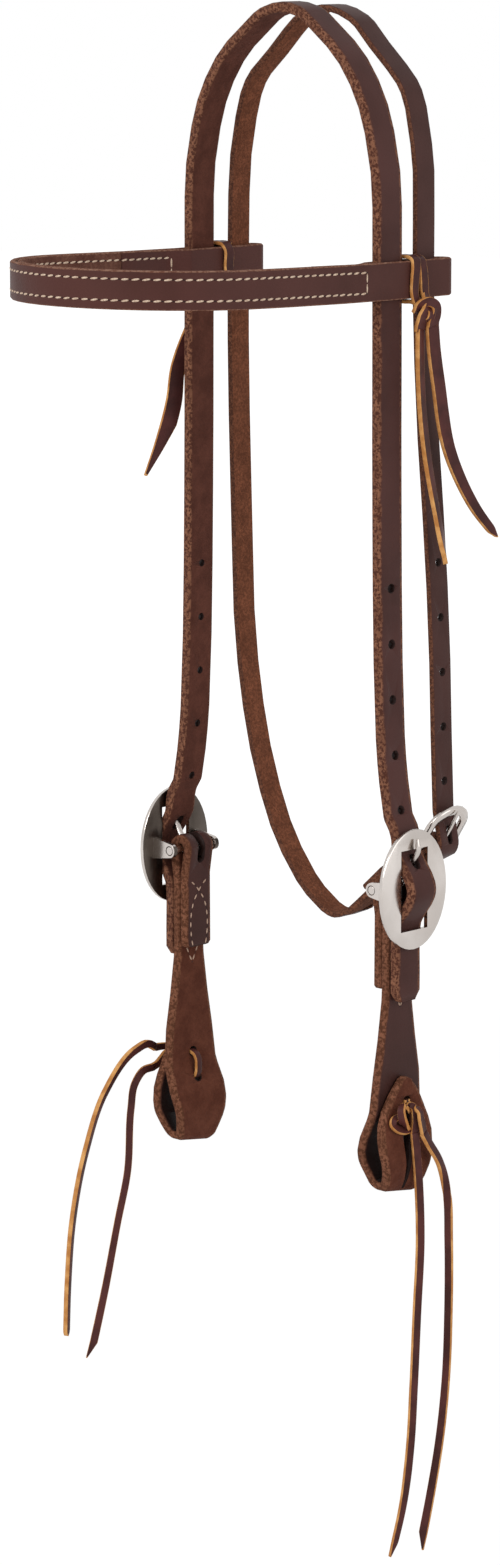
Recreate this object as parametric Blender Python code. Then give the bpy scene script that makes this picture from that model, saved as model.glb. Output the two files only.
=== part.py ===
"""A western headstall: crown strap, throatlatch, doubled browband, cart buckles, bit ends and lace ties.

Lengths are metres and +Z is up. +X is the horse's near (left) side and +Y is towards its tail.
The origin is under the top of the crown strap, where the strap lies on the poll.
Every strap is cut and punched flat, as on the bench, and is then laid along its route.
"""

import math

import bmesh
import bpy
import numpy as np
from mathutils import Matrix, Vector

# Fits shared by every piece
CLEARANCE = 0.0003
CUT_OVERRUN = 0.004
MERGE = 1e-7
EDGE_CHAMFER = 0.0007

# How finely a route is followed
SAMPLE_STEP = 0.0006
LONGEST_SPAN = 0.034
ROUTE_FIT = 0.0002
TURN_PER_STATION = math.radians(10.0)
LACE_TURN = math.radians(14.0)
BEND_SPREAD = 1.6

# Crown strap
CROWN_WIDTH = 0.0159
CROWN_THICKNESS = 0.0048
CROWN_SPREAD = 0.0590
BROWBAND_DROP = 0.1180
HOLE_PITCH = 0.0254
HOLE_DIAMETER = 0.0036
HOLES_ABOVE_TONGUE = 5
TONGUE_HOLE_WIDTH = 0.0048
TONGUE_HOLE_LENGTH = 0.0082
TAIL_CLIP = 0.0040
BILLET_TAIL = 0.0520

# Throatlatch strap
THROAT_WIDTH = 0.0127
THROAT_THICKNESS = 0.0030
THROAT_BACK_TOP = 0.0270
THROAT_BACK = 0.0250
THROAT_BACK_LOW = 0.0380
THROAT_SPREAD = 0.0620
THROAT_DEPTH = 0.4215
THROAT_FOLD_LENGTH = 0.0600
THROAT_LAYER_SPARE = 0.0004
THROAT_TAIL = 0.0500
THROAT_TAIL_SPLAY = 0.0040
THROAT_TAIL_CLIP = 0.0035
THROAT_HOLE_DIAMETER = 0.0032
THROAT_TONGUE_HOLE = 0.0032
THROAT_TONGUE_HOLE_LENGTH = 0.0084
THROAT_HOLES = 6
THROAT_SLOT_LENGTH = 0.0220
THROAT_SLOT_WIDTH = 0.0036

# Throatlatch buckle, a heel bar with a horseshoe rim
HEEL_BAR_RADIUS = 0.0015
HEEL_BAR_X = 0.0590
HEEL_BAR_DROP = 0.3783
HEEL_BAR_BACK = 0.0360
RIM_REACH = 0.0185
RIM_HALF_WIDTH = 0.01125
RIM_WIDTH = 0.0045
RIM_THICKNESS = 0.0025
BUCKLE_TILT = math.radians(32.0)
EYE_OVERWRAP = math.radians(12.0)
BILLET_OFF_TURN = math.radians(10.0)
FOLD_SLOPE = math.radians(39.7)
HEEL_TONGUE_WIDTH = 0.0022
HEEL_TONGUE_DEPTH = 0.0022

# Cheek buckle, an oval cart buckle with two ears and a bar behind it
PLATE_WIDTH = 0.0437
PLATE_HEIGHT = 0.0555
PLATE_THICKNESS = 0.0022
PLATE_STANDOFF = 0.0106
PLATE_EDGE = 0.0006
OPENING_WIDTH = 0.0178
OPENING_HEIGHT = 0.0374
BAR_RADIUS = 0.0020
BAR_X = 0.0646
BAR_DROP = 0.3930
EAR_GAP = 0.0045
EAR_THICKNESS = 0.0023
EAR_BASE = 0.0100
EAR_NOSE = 0.0034
BILLET_RISE = 0.0096
TONGUE_EYE = 0.0020
TONGUE_EYE_WIDTH = 0.0038
TONGUE_WIDTH = 0.0032
TONGUE_DEPTH = 0.0030

# Bit end
BIT_THICKNESS = 0.0045
BIT_NECK_WIDTH = 0.0165
BIT_LEAF_WIDTH = 0.0336
BIT_DROP = 0.1403
BIT_SHORT_LAYER = 0.0470
BIT_LOOP_ACROSS = 0.0144
BIT_LOOP_RADIUS = 0.0046
BIT_LOOP_TURN = math.radians(60.0)
BIT_BEARING_TURN = math.radians(20.0)
SLIT_PAST_LOOP = 0.0036
SLOT_WIDTH = 0.0048
SLOT_PAST_BAR = 0.0066
LACE_HOLE_DIAMETER = 0.0052
LACE_HOLE_PITCH = 0.0130
SLIT_POINT = 0.0010

# Browband
BROWBAND_WIDTH = 0.0170
BROWBAND_THICKNESS = 0.0028
LINING_THICKNESS = 0.0022
BROWBAND_REACH = 0.1515
BROWBAND_RISE = 0.0030
STITCH_START = 0.0190
RETURN_LENGTH = 0.0310
LOOP_BACK = 0.0404
SPLICE_GAP = 0.0006

# Lace
TIE_LACE_WIDTH = 0.0076
TIE_LACE_THICKNESS = 0.0022
BIT_LACE_WIDTH = 0.0042
BIT_LACE_THICKNESS = 0.0022
LACE_CHAMFER = 0.0003
LACE_TIP = 0.0090
KNOT_WIDTH_SHARE = 0.46
KNOT_THICK_SHARE = 1.15
BIGHT_SHARE = 0.60
BIGHT_THIN_SHARE = 0.72

MIRROR = Matrix.Diagonal(Vector((-1.0, 1.0, 1.0, 1.0)))
SIDES = (("near", Matrix.Identity(4)), ("far", MIRROR))
BAND_MIDDLE = Vector((0, 0, -BROWBAND_DROP))


# Scene

def clear_scene():
    for thing in list(bpy.data.objects):
        bpy.data.objects.remove(thing, do_unlink=True)


def collection(name):
    made = bpy.data.collections.new(name)
    bpy.context.scene.collection.children.link(made)
    return made


def finish(name, colour, roughness, metallic):
    made = bpy.data.materials.new(name)
    made.use_nodes = True
    shader = made.node_tree.nodes["Principled BSDF"]
    shader.inputs["Base Color"].default_value = (*colour, 1.0)
    shader.inputs["Roughness"].default_value = roughness
    shader.inputs["Metallic"].default_value = metallic
    return made


def face_out(bm):
    bmesh.ops.recalc_face_normals(bm, faces=bm.faces)
    if bm.calc_volume(signed=True) < 0:
        bmesh.ops.reverse_faces(bm, faces=bm.faces)


def mesh_object(name, bm, place=None, material=None, pivot=(0, 0, 0)):
    """A new object in the headstall's collection. A moving piece has its origin on its joint's axis."""
    bm.transform(place or Matrix.Identity(4))
    face_out(bm)
    bmesh.ops.translate(bm, verts=bm.verts, vec=-Vector(pivot))
    mesh = bpy.data.meshes.new(name)
    bm.to_mesh(mesh)
    bm.free()
    made = bpy.data.objects.new(name, mesh)
    made.location = pivot
    HEADSTALL.objects.link(made)
    if material:
        mesh.materials.append(material)
    return made


# Routes

def smooth(points, step=SAMPLE_STEP):
    """A curve through the points. A long straight run next to a bend stays straight."""
    points = np.asarray(points, float)
    spans = np.diff(points, axis=0)
    chords = np.linalg.norm(spans, axis=1)
    slopes = spans / chords[:, None]
    weight = chords[1:, None] / (chords[:-1, None] + chords[1:, None])
    tangents = np.vstack([slopes[:1], slopes[:-1] * weight + slopes[1:] * (1 - weight), slopes[-1:]])
    shorter = np.minimum(chords[1:], chords[:-1])
    reach = np.concatenate([chords[:1], shorter * BEND_SPREAD, chords[-1:]])
    curve = [points[0]]
    for i, chord in enumerate(chords):
        leave = tangents[i] * min(chord, reach[i])
        enter = tangents[i + 1] * min(chord, reach[i + 1])
        for t in np.linspace(0, 1, max(2, math.ceil(chord / step) + 1))[1:]:
            start = (1 + 2 * t) * (1 - t) ** 2 * points[i] + t * (1 - t) ** 2 * leave
            end = t * t * (3 - 2 * t) * points[i + 1] + t * t * (t - 1) * enter
            curve.append(start + end)
    return np.array(curve)


def arc(centre, radius, start, end, count):
    """Points in a plane round a centre, from one angle to another."""
    angles = np.linspace(start, end, count)
    return [(centre[0] + radius * math.cos(a), centre[1] + radius * math.sin(a)) for a in angles]


class Route:
    """A line that leather follows, with the directions along it, across it and out of its grain side."""

    def __init__(self, points, across, grain, facing=None):
        self.points = smooth(points)
        self.steps = np.concatenate([[0.0], np.cumsum(np.linalg.norm(np.diff(self.points, axis=0), axis=1))])
        self.length = float(self.steps[-1])
        along = np.gradient(self.points, self.steps, axis=0)
        self.along = along / np.linalg.norm(along, axis=1)[:, None]
        if facing is None:
            wide = np.broadcast_to(np.asarray(across, float), self.points.shape)
        else:
            wide = np.cross(np.asarray(facing, float), self.along)
        wide = wide - np.sum(wide * self.along, axis=1)[:, None] * self.along
        self.wide = wide / np.linalg.norm(wide, axis=1)[:, None]
        self.out = grain * np.cross(self.along, self.wide)

    def at(self, values, place):
        return np.array([np.interp(place, self.steps, values[:, i]) for i in range(values.shape[1])])

    def place(self, along, across, out):
        """The point in space of a point on the flat piece."""
        return Vector(
            self.at(self.points, along)
            + across * self.at(self.wide, along)
            + out * self.at(self.out, along)
        )

    def nearest(self, point):
        return float(self.steps[np.argmin(np.linalg.norm(self.points - np.asarray(point), axis=1))])

    def strays(self, first, last):
        """Whether the route leaves the straight line between two of its samples by more than the fit."""
        chord = self.points[last] - self.points[first]
        chord = chord / np.linalg.norm(chord)
        spans = self.points[first:last + 1] - self.points[first]
        off = spans - np.outer(spans @ chord, chord)
        return float(np.linalg.norm(off, axis=1).max()) > ROUTE_FIT

    def stations(self, forced=(), turn=TURN_PER_STATION, span=LONGEST_SPAN, start=0.0, end=None):
        """Places close together where the route bends and far apart where it is straight."""
        end = self.length if end is None else end
        chosen = [start]
        last, since = self.at(self.along, start), int(np.searchsorted(self.steps, start))
        for i in range(since + 1, len(self.steps)):
            place = self.steps[i]
            if not start < place < end:
                continue
            bent = math.acos(float(np.clip(np.dot(last, self.along[i]), -1.0, 1.0)))
            if bent >= turn or place - chosen[-1] >= span or self.strays(since, i):
                chosen.append(float(place))
                last, since = self.along[i], i
        kept = [p for p in chosen if all(abs(p - f) > SAMPLE_STEP for f in forced) and end - p > SAMPLE_STEP]
        return sorted({start, end, *kept, *forced})


# Flat pieces

def strap_section(half_width, half_thickness, chamfer):
    """The eight corners of a strap's section, its edges chamfered."""
    flat = max(half_width - chamfer, half_width / 2)
    side = half_thickness - chamfer
    return [
        (half_width, -side), (half_width, side), (flat, half_thickness), (-flat, half_thickness),
        (-half_width, side), (-half_width, -side), (-flat, -half_thickness), (flat, -half_thickness),
    ]


def round_section(half_width, half_thickness, sides=8):
    angles = [2 * math.pi * (i + 1 / 2) / sides for i in range(sides)]
    return [(half_width * math.cos(a), half_thickness * math.sin(a)) for a in angles]


def extrude_flat(stations, section):
    """A closed flat piece along X, extruded from station to station with that place's section."""
    bm = bmesh.new()
    first = section(stations[0])
    ring = bmesh.ops.create_circle(bm, cap_ends=True, segments=len(first), radius=1.0)["verts"]
    for vert, (across, out) in zip(ring, first):
        vert.co = (stations[0], across, out)
    face = bm.faces[:][0]
    for station in stations[1:]:
        spent = face
        made = bmesh.ops.extrude_face_region(bm, geom=[spent])["geom"]
        face = next(g for g in made if isinstance(g, bmesh.types.BMFace))
        if station != stations[1]:
            bmesh.ops.delete(bm, geom=[spent], context="FACES_ONLY")
        fresh = {g for g in made if isinstance(g, bmesh.types.BMVert)}
        moved = [next(e.other_vert(v) for e in v.link_edges if e.other_vert(v) in fresh) for v in ring]
        for vert, (across, out) in zip(moved, section(station)):
            vert.co = (station, across, out)
        ring = moved
    face_out(bm)
    return bm


def cutter(name, bm):
    mesh = bpy.data.meshes.new(name)
    face_out(bm)
    bm.to_mesh(mesh)
    bm.free()
    made = bpy.data.objects.new(name, mesh)
    CUTTERS.objects.link(made)
    made.hide_render = True
    made.display_type = "WIRE"
    return made


def boolean(bm, others, operation):
    """The mesh after each other object is cut from it or joined to it in turn."""
    for other in others:
        face_out(bm)
        mesh = bpy.data.meshes.new("work")
        bm.to_mesh(mesh)
        bm.free()
        work = bpy.data.objects.new("work", mesh)
        CUTTERS.objects.link(work)
        step = work.modifiers.new(operation, "BOOLEAN")
        step.operation = operation
        step.object = other
        step.solver = "EXACT"
        bpy.context.view_layer.update()
        result = bpy.data.meshes.new_from_object(work.evaluated_get(bpy.context.evaluated_depsgraph_get()))
        bpy.data.objects.remove(work)
        bm = bmesh.new()
        bm.from_mesh(result)
        bmesh.ops.remove_doubles(bm, verts=bm.verts, dist=MERGE)
    return bm


def round_punch(name, along, diameter, depth):
    bm = bmesh.new()
    bmesh.ops.create_cone(
        bm, cap_ends=True, segments=10, radius1=diameter / 2, radius2=diameter / 2, depth=depth + CUT_OVERRUN
    )
    bm.transform(Matrix.Translation((along, 0, 0)))
    return cutter(name, bm)


def slot_punch(name, start, end, width, depth, end_width=None):
    """A slot along the strap with round ends, which may run out to a narrower end."""
    end_width = end_width or width
    bm = bmesh.new()
    for place, across in ((start + width / 2, width), (end - end_width / 2, end_width)):
        made = bmesh.ops.create_cone(
            bm, cap_ends=True, segments=12, radius1=across / 2, radius2=across / 2, depth=depth + CUT_OVERRUN
        )
        bmesh.ops.translate(bm, verts=made["verts"], vec=(place, 0, 0))
    hull = bmesh.ops.convex_hull(bm, input=bm.verts)
    spare = [g for g in hull["geom_interior"] if isinstance(g, bmesh.types.BMVert)]
    bmesh.ops.delete(bm, geom=spare, context="VERTS")
    inside = [f for f in bm.faces if f not in set(hull["geom"])]
    bmesh.ops.delete(bm, geom=inside, context="FACES_ONLY")
    return cutter(name, bm)


def lay(bm, route, stations=()):
    """The flat piece bent along its route, with every wall split where the leather bends."""
    for station in stations:
        everything = [*bm.verts, *bm.edges, *bm.faces]
        bmesh.ops.bisect_plane(bm, geom=everything, dist=MERGE, plane_co=(station, 0, 0), plane_no=(1, 0, 0))
    bmesh.ops.triangulate(bm, faces=bm.faces)
    for vert in bm.verts:
        vert.co = route.place(vert.co.x, vert.co.y, vert.co.z)
    return bm


def taper(table):
    """A width that runs straight between the places in a table."""
    places = [row[0] for row in table]
    widths = [row[1] for row in table]
    return lambda along: float(np.interp(along, places, widths))


# The cheek buckle's own frame: x is outwards, y along the bar and z up, with the bar's middle at its origin

CHEEK = Matrix.Translation((BAR_X, 0, -BAR_DROP))


def swing_axis(side):
    """A point on the bar that a side's bit end and tongue turn on."""
    return (dict(SIDES)[side] @ CHEEK).translation


EYE_RADIUS = BAR_RADIUS + CLEARANCE + BIT_THICKNESS / 2
BILLET_AT_RIM = PLATE_STANDOFF - 2 * CLEARANCE - CROWN_THICKNESS / 2
HALF_OPENING = OPENING_HEIGHT / 2
ARCH_HALF = HALF_OPENING + 3 * CLEARANCE
RIM_TOP = PLATE_HEIGHT / 2


def billet_height(up):
    return BILLET_AT_RIM + BILLET_RISE / 2 * (1 + math.cos(math.pi * up / ARCH_HALF))


def billet_points():
    """The crown strap through the buckle: its tail first, then behind both rims and arched over the bar."""
    layers = (BIT_THICKNESS + CROWN_THICKNESS) / 2
    tail = []
    for share in (1.0, 0.75):
        down = -BILLET_TAIL * share
        tail.append((leg_at(down) + layers + 2 * CLEARANCE, down))
    below = (BILLET_AT_RIM - CLEARANCE, -RIM_TOP)
    arch = [(billet_height(up), up) for up in np.linspace(-ARCH_HALF, ARCH_HALF, 13)]
    above = [(BILLET_AT_RIM - CROWN_THICKNESS * out, RIM_TOP * up) for out, up in BILLET_LEAVES_SHARES]
    return [*tail, below, *arch, *above]


BILLET_LEAVES_SHARES = (
    # in as a share of the strap's thickness, up as a share of the plate's half height
    (0.06, 0.83), (0.38, 1.0), (0.96, 1.155), (1.86, 2.05),
)


# Bit end

LEG_SHARES = (
    # down as a share of the drop, out as a share of the loop's width
    (0.093, 0.167), (0.656, 0.132), (0.748, 0.063), (0.820, -0.215), (0.898, -0.396), (0.962, -0.250),
    (1.000, 0.097),
)
FLAP_SHARES = (
    (1.000, 0.097), (0.962, 0.479), (0.912, 0.604), (0.834, 0.535), (0.748, 0.424), (0.684, 0.458),
    (0.627, 0.493),
)
LEG_WIDTH_SHARES = (
    # down as a share of the drop, width as a share of the leaf's
    (0.335, 0.491), (0.371, 0.506), (0.499, 0.655), (0.620, 0.833), (0.763, 0.952), (0.823, 1.0),
    (0.870, 0.970), (0.912, 0.893), (0.959, 0.798),
)
FLAP_WIDTH_SHARES = (
    (0.959, 0.798), (0.912, 0.893), (0.870, 0.970), (0.823, 1.0), (0.777, 0.929), (0.731, 0.762),
    (0.684, 0.530), (0.655, 0.340), (0.636, 0.190), (0.628, 0.070),
)
FOLD_WIDTH_SHARE = 0.714
TIE_SHARE = 0.752


def shares_at(table, height):
    """How far out a table's line lies at a height below the bar."""
    ordered = sorted(table)
    out = np.interp(-height / BIT_DROP, [row[0] for row in ordered], [row[1] for row in ordered])
    return BIT_LOOP_ACROSS * float(out)


def leg_at(height):
    return shares_at(LEG_SHARES, height)


def flap_at(height):
    return shares_at(FLAP_SHARES, height)


def bit_end_route():
    """Up the short layer, over the bar, down the main leg, round the loop and up the flap."""
    layer = BIT_THICKNESS + CLEARANCE
    short = []
    for share in (1.0, 0.75, 0.5, 0.28):
        down = -BIT_SHORT_LAYER * share
        short.append((leg_at(down) - layer, down))
    shoulder = EYE_RADIUS * 0.79
    short.append((-shoulder, -EYE_RADIUS * 1.32))
    eye = arc((0, 0), EYE_RADIUS, math.radians(190), math.radians(-10), 15)
    leg = [(BIT_LOOP_ACROSS * out, -BIT_DROP * down) for down, out in LEG_SHARES[:-1]]
    bottom = BIT_LOOP_ACROSS * LEG_SHARES[-1][1]
    centre = (bottom, BIT_LOOP_RADIUS - BIT_DROP)
    loop = arc(centre, BIT_LOOP_RADIUS, -math.pi / 2 - BIT_LOOP_TURN, -math.pi / 2 + BIT_LOOP_TURN, 13)
    flap = [(BIT_LOOP_ACROSS * out, -BIT_DROP * down) for down, out in FLAP_SHARES[1:]]
    flat = [*short, *eye, (shoulder, -EYE_RADIUS * 1.32), *leg, *loop, *flap]
    return Route([(x, 0, z) for x, z in flat], (0, 1, 0), 1.0)


def bit_end(side, place, material):
    route = bit_end_route()
    top = route.nearest((0, 0, EYE_RADIUS))
    bottom = BIT_LOOP_ACROSS * LEG_SHARES[-1][1]
    bearing = route.nearest((bottom, 0, -BIT_DROP))
    across = BIT_LOOP_RADIUS * math.sin(BIT_BEARING_TURN)
    rise = BIT_LOOP_RADIUS * (1 - math.cos(BIT_BEARING_TURN))
    flat_run = [route.nearest((bottom + x, 0, rise - BIT_DROP)) for x in (-across, across)]
    half_neck, half_leaf = BIT_NECK_WIDTH / 2, BIT_LEAF_WIDTH / 2
    table = [(0.0, half_neck * 0.85), (EDGE_CHAMFER * 2, half_neck), (top, half_neck)]
    for shares, out_at in ((LEG_WIDTH_SHARES, leg_at), (FLAP_WIDTH_SHARES, flap_at)):
        for down, share in shares:
            height = -BIT_DROP * down
            table.append((route.nearest((out_at(height), 0, height)), half_leaf * share))
    table.append((bearing, half_leaf * FOLD_WIDTH_SHARE))
    table.sort()
    table[-1] = (route.length, table[-1][1])
    widths = taper(table)
    bounds = [row[0] for row in table[1:-1] if row[0] != top and row[0] != bearing]
    stations = [u for u in route.stations([*bounds, *flat_run]) if not flat_run[0] < u < flat_run[1]]
    flat = extrude_flat(stations, lambda u: strap_section(widths(u), BIT_THICKNESS / 2, EDGE_CHAMFER))
    reach = math.pi / 2 * EYE_RADIUS + SLOT_PAST_BAR
    tie = -BIT_DROP * TIE_SHARE
    tie_leg = route.nearest((leg_at(tie), 0, tie))
    tie_flap = route.nearest((flap_at(tie), 0, tie))
    slit_end = tie_flap + (LACE_HOLE_PITCH + LACE_HOLE_DIAMETER) / 2
    depth, wide = BIT_THICKNESS, LACE_HOLE_DIAMETER
    cuts = [
        slot_punch(side + "_tongue_slot", top - reach, top + reach, SLOT_WIDTH, depth),
        round_punch(side + "_lace_hole_high", tie_leg - LACE_HOLE_PITCH / 2, wide, depth),
        round_punch(side + "_lace_hole_low", tie_leg + LACE_HOLE_PITCH / 2, wide, depth),
        slot_punch(side + "_flap_slit", bearing + SLIT_PAST_LOOP, slit_end, SLIT_POINT, depth, wide),
    ]
    bm = lay(boolean(flat, cuts, "DIFFERENCE"), route, stations)
    return mesh_object(side + "_bit_end", bm, place @ CHEEK, material, swing_axis(side))


# Cheek buckle

def cheek_plate(side, place, material):
    """The oval plate with its opening and, behind it, the two ears that hold the bar."""
    bm = bmesh.new()
    bmesh.ops.create_cone(
        bm, cap_ends=True, segments=44, radius1=1.0, radius2=1.0, depth=PLATE_THICKNESS,
        matrix=Matrix.Rotation(math.pi / 2, 4, "Y"),
    )
    bmesh.ops.scale(bm, vec=(1.0, PLATE_WIDTH / 2, PLATE_HEIGHT / 2), verts=bm.verts)
    rims = [e for e in bm.edges if len({len(f.verts) for f in e.link_faces}) == 2]
    bmesh.ops.bevel(
        bm, geom=rims, offset=PLATE_EDGE, segments=2, profile=0.5, affect="EDGES", material=-1,
        clamp_overlap=True,
    )
    bmesh.ops.translate(bm, verts=bm.verts, vec=(PLATE_STANDOFF + PLATE_THICKNESS / 2, 0, 0))
    opening = bmesh.new()
    bmesh.ops.create_cube(opening, size=1.0)
    bmesh.ops.scale(
        opening, vec=(PLATE_THICKNESS + CUT_OVERRUN, OPENING_WIDTH, OPENING_HEIGHT), verts=opening.verts
    )
    bmesh.ops.translate(opening, verts=opening.verts, vec=(PLATE_STANDOFF, 0, 0))
    bm = boolean(bm, [cutter(side + "_plate_opening", opening)], "DIFFERENCE")
    bm = boolean(bm, [ear(side, hand) for hand in (-1, 1)], "UNION")
    bore = bmesh.new()
    bmesh.ops.create_cone(
        bore, cap_ends=True, segments=16, radius1=BAR_RADIUS + CLEARANCE, radius2=BAR_RADIUS + CLEARANCE,
        depth=PLATE_WIDTH + CUT_OVERRUN, matrix=Matrix.Rotation(math.pi / 2, 4, "X"),
    )
    bm = boolean(bm, [cutter(side + "_bar_bore", bore)], "DIFFERENCE")
    return mesh_object(side + "_cheek_buckle_plate", bm, place @ CHEEK, material)


def ear_middle():
    return BIT_NECK_WIDTH / 2 + EAR_GAP + EAR_THICKNESS / 2


def ear(side, hand):
    """A triangular ear: the hull of a round nose at the bar and a foot sunk in the plate."""
    bm = bmesh.new()
    turned = Matrix.Rotation(math.pi / 2, 4, "X")
    bmesh.ops.create_cone(
        bm, cap_ends=True, segments=16, radius1=EAR_NOSE, radius2=EAR_NOSE, depth=EAR_THICKNESS, matrix=turned
    )
    foot = bmesh.ops.create_cube(bm, size=1.0)["verts"]
    bmesh.ops.scale(bm, vec=(PLATE_THICKNESS / 2, EAR_THICKNESS, EAR_BASE), verts=foot)
    bmesh.ops.translate(bm, verts=foot, vec=(PLATE_STANDOFF + PLATE_THICKNESS / 4, 0, 0))
    hull = bmesh.ops.convex_hull(bm, input=bm.verts)
    spare = [g for g in hull["geom_interior"] if isinstance(g, bmesh.types.BMVert)]
    bmesh.ops.delete(bm, geom=spare, context="VERTS")
    kept = set(hull["geom"])
    bmesh.ops.delete(bm, geom=[f for f in bm.faces if f not in kept], context="FACES_ONLY")
    bmesh.ops.translate(bm, verts=bm.verts, vec=(0, hand * ear_middle(), 0))
    return cutter(f"{side}_ear_{'rear' if hand > 0 else 'front'}", bm)


def cheek_bar(side, place, material):
    bm = bmesh.new()
    bmesh.ops.create_cone(
        bm, cap_ends=True, segments=16, radius1=BAR_RADIUS, radius2=BAR_RADIUS,
        depth=2 * ear_middle() + EAR_THICKNESS, matrix=Matrix.Rotation(math.pi / 2, 4, "X"),
    )
    return mesh_object(side + "_cheek_buckle_bar", bm, place @ CHEEK, material)


def wrapped_tongue(bar_radius, eye, eye_width, width, depth, bends):
    """A tongue whose eye goes over the bar, behind it and under it, and leaves upwards in front of it."""
    radius = bar_radius + CLEARANCE + eye / 2
    wrap = arc((0, 0), radius, math.radians(98), math.radians(360), 19)
    route = Route([(x, 0, z) for x, z in [*wrap, *bends]], (0, 1, 0), 1.0)
    left = route.nearest((radius, 0, 0))
    grown = left + depth
    widths = taper((
        (0, eye_width / 2), (left, eye_width / 2), (grown, width / 2), (route.length - depth, width * 0.47),
        (route.length, width * 0.28),
    ))
    depths = taper((
        (0, eye / 2), (left, eye / 2), (grown, depth / 2), (route.length - depth, depth * 0.40),
        (route.length, depth * 0.24),
    ))
    forced = [left, grown, route.length - depth]
    flat = extrude_flat(route.stations(forced, LACE_TURN), lambda u: round_section(widths(u), depths(u)))
    return lay(flat, route)


TONGUE_SHARES = (
    # out from the bar as a share of the plate's front, up as a share of the opening's half height
    (0.48, 0.19), (0.97, 0.765), (1.165, 0.985),
)


def cheek_tongue(side, place, material):
    front = PLATE_STANDOFF + PLATE_THICKNESS
    rest = front + CLEARANCE + TONGUE_DEPTH / 2
    bends = [(front * out, HALF_OPENING * up) for out, up in TONGUE_SHARES]
    bends += [(rest + CLEARANCE / 2, HALF_OPENING + TONGUE_DEPTH), (rest, HALF_OPENING + TONGUE_DEPTH * 1.65)]
    bm = wrapped_tongue(BAR_RADIUS, TONGUE_EYE, TONGUE_EYE_WIDTH, TONGUE_WIDTH, TONGUE_DEPTH, bends)
    return mesh_object(side + "_cheek_buckle_tongue", bm, place @ CHEEK, material, swing_axis(side))


# Crown strap

ARCH_SHARES = (
    # out as a share of the spread, down as a share of the browband's drop
    (0.0, 0.0), (0.190, 0.018), (0.373, 0.078), (0.644, 0.194), (0.831, 0.336), (0.966, 0.560), (1.0, 1.0),
)
CHEEK_SHARES = (
    # out as a share of the reach to the bar, down as a share of the way to the bar
    (0.030, 0.200), (0.180, 0.516), (0.270, 0.607), (0.430, 0.702),
)


def crown_half():
    """From the tail's end on the near side to the top of the poll."""
    points = [CHEEK @ Vector((x, 0, z)) for x, z in billet_points()]
    reach, cheek_length = BAR_X - CROWN_SPREAD, BAR_DROP - BROWBAND_DROP
    for out, down in reversed(CHEEK_SHARES):
        points.append((CROWN_SPREAD + reach * out, 0, -BROWBAND_DROP - cheek_length * down))
    drop = BROWBAND_DROP + CROWN_THICKNESS / 2
    for out, down in reversed(ARCH_SHARES):
        points.append((CROWN_SPREAD * out, 0, CROWN_THICKNESS / 2 - drop * down))
    return [tuple(p) for p in points]


def mirrored(half):
    """A whole route from its near half, whose last point is on the middle plane."""
    return [*half, *[(-x, y, z) for x, y, z in reversed(half[:-1])]]


TONGUE_HOLE_SHARE = 0.630


def crown_strap(material):
    route = Route(mirrored(crown_half()), (0, 1, 0), -1.0)
    half, side = CROWN_WIDTH / 2, CROWN_THICKNESS / 2
    clipped = half - TAIL_CLIP * 0.75
    full = route.length
    widths = taper(((0, clipped), (TAIL_CLIP, half), (full - TAIL_CLIP, half), (full, clipped)))
    up = HALF_OPENING * TONGUE_HOLE_SHARE
    first = route.nearest(CHEEK @ Vector((billet_height(up), 0, up)))
    half_hole = TONGUE_HOLE_LENGTH / 2
    cuts = []
    for name, start, way in (("near", first, 1), ("far", route.length - first, -1)):
        cuts.append(slot_punch(
            name + "_tongue_hole", start - half_hole, start + half_hole, TONGUE_HOLE_WIDTH, CROWN_THICKNESS
        ))
        for i in range(1, HOLES_ABOVE_TONGUE + 1):
            place = start + way * i * HOLE_PITCH
            cuts.append(round_punch(f"{name}_crown_hole_{i}", place, HOLE_DIAMETER, CROWN_THICKNESS))
    bounds = [TAIL_CLIP]
    for point in billet_points()[1:]:
        bounds.append(route.nearest(CHEEK @ Vector((point[0], 0, point[1]))))
    bounds += [route.length - bound for bound in bounds]
    stations = route.stations(bounds)
    flat = extrude_flat(stations, lambda u: strap_section(widths(u), side, EDGE_CHAMFER))
    bm = lay(boolean(flat, cuts, "DIFFERENCE"), route, stations)
    return mesh_object("crown_strap", bm, None, material)


# Throatlatch

HEEL = Matrix.Translation((HEEL_BAR_X, HEEL_BAR_BACK, -HEEL_BAR_DROP))
THROAT_EYE = HEEL_BAR_RADIUS + CLEARANCE + THROAT_THICKNESS / 2
THROAT_LAYER = THROAT_THICKNESS + CLEARANCE
BILLET_TURN = THROAT_EYE + THROAT_LAYER


def heel_point(along, out):
    """A point up the heel buckle's plane and out of it, as x and z from its bar."""
    up = (math.sin(BUCKLE_TILT), math.cos(BUCKLE_TILT))
    away = (math.cos(BUCKLE_TILT), -math.sin(BUCKLE_TILT))
    return (up[0] * along + away[0] * out, up[1] * along + away[1] * out)


def fold_point(along, over):
    """A point along the folded end from the bar, and over it on its inner side, as x and z from the bar."""
    way = (-math.cos(FOLD_SLOPE), -math.sin(FOLD_SLOPE))
    inner = (-math.sin(FOLD_SLOPE), math.cos(FOLD_SLOPE))
    return (way[0] * along + inner[0] * over, way[1] * along + inner[1] * over)


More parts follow.
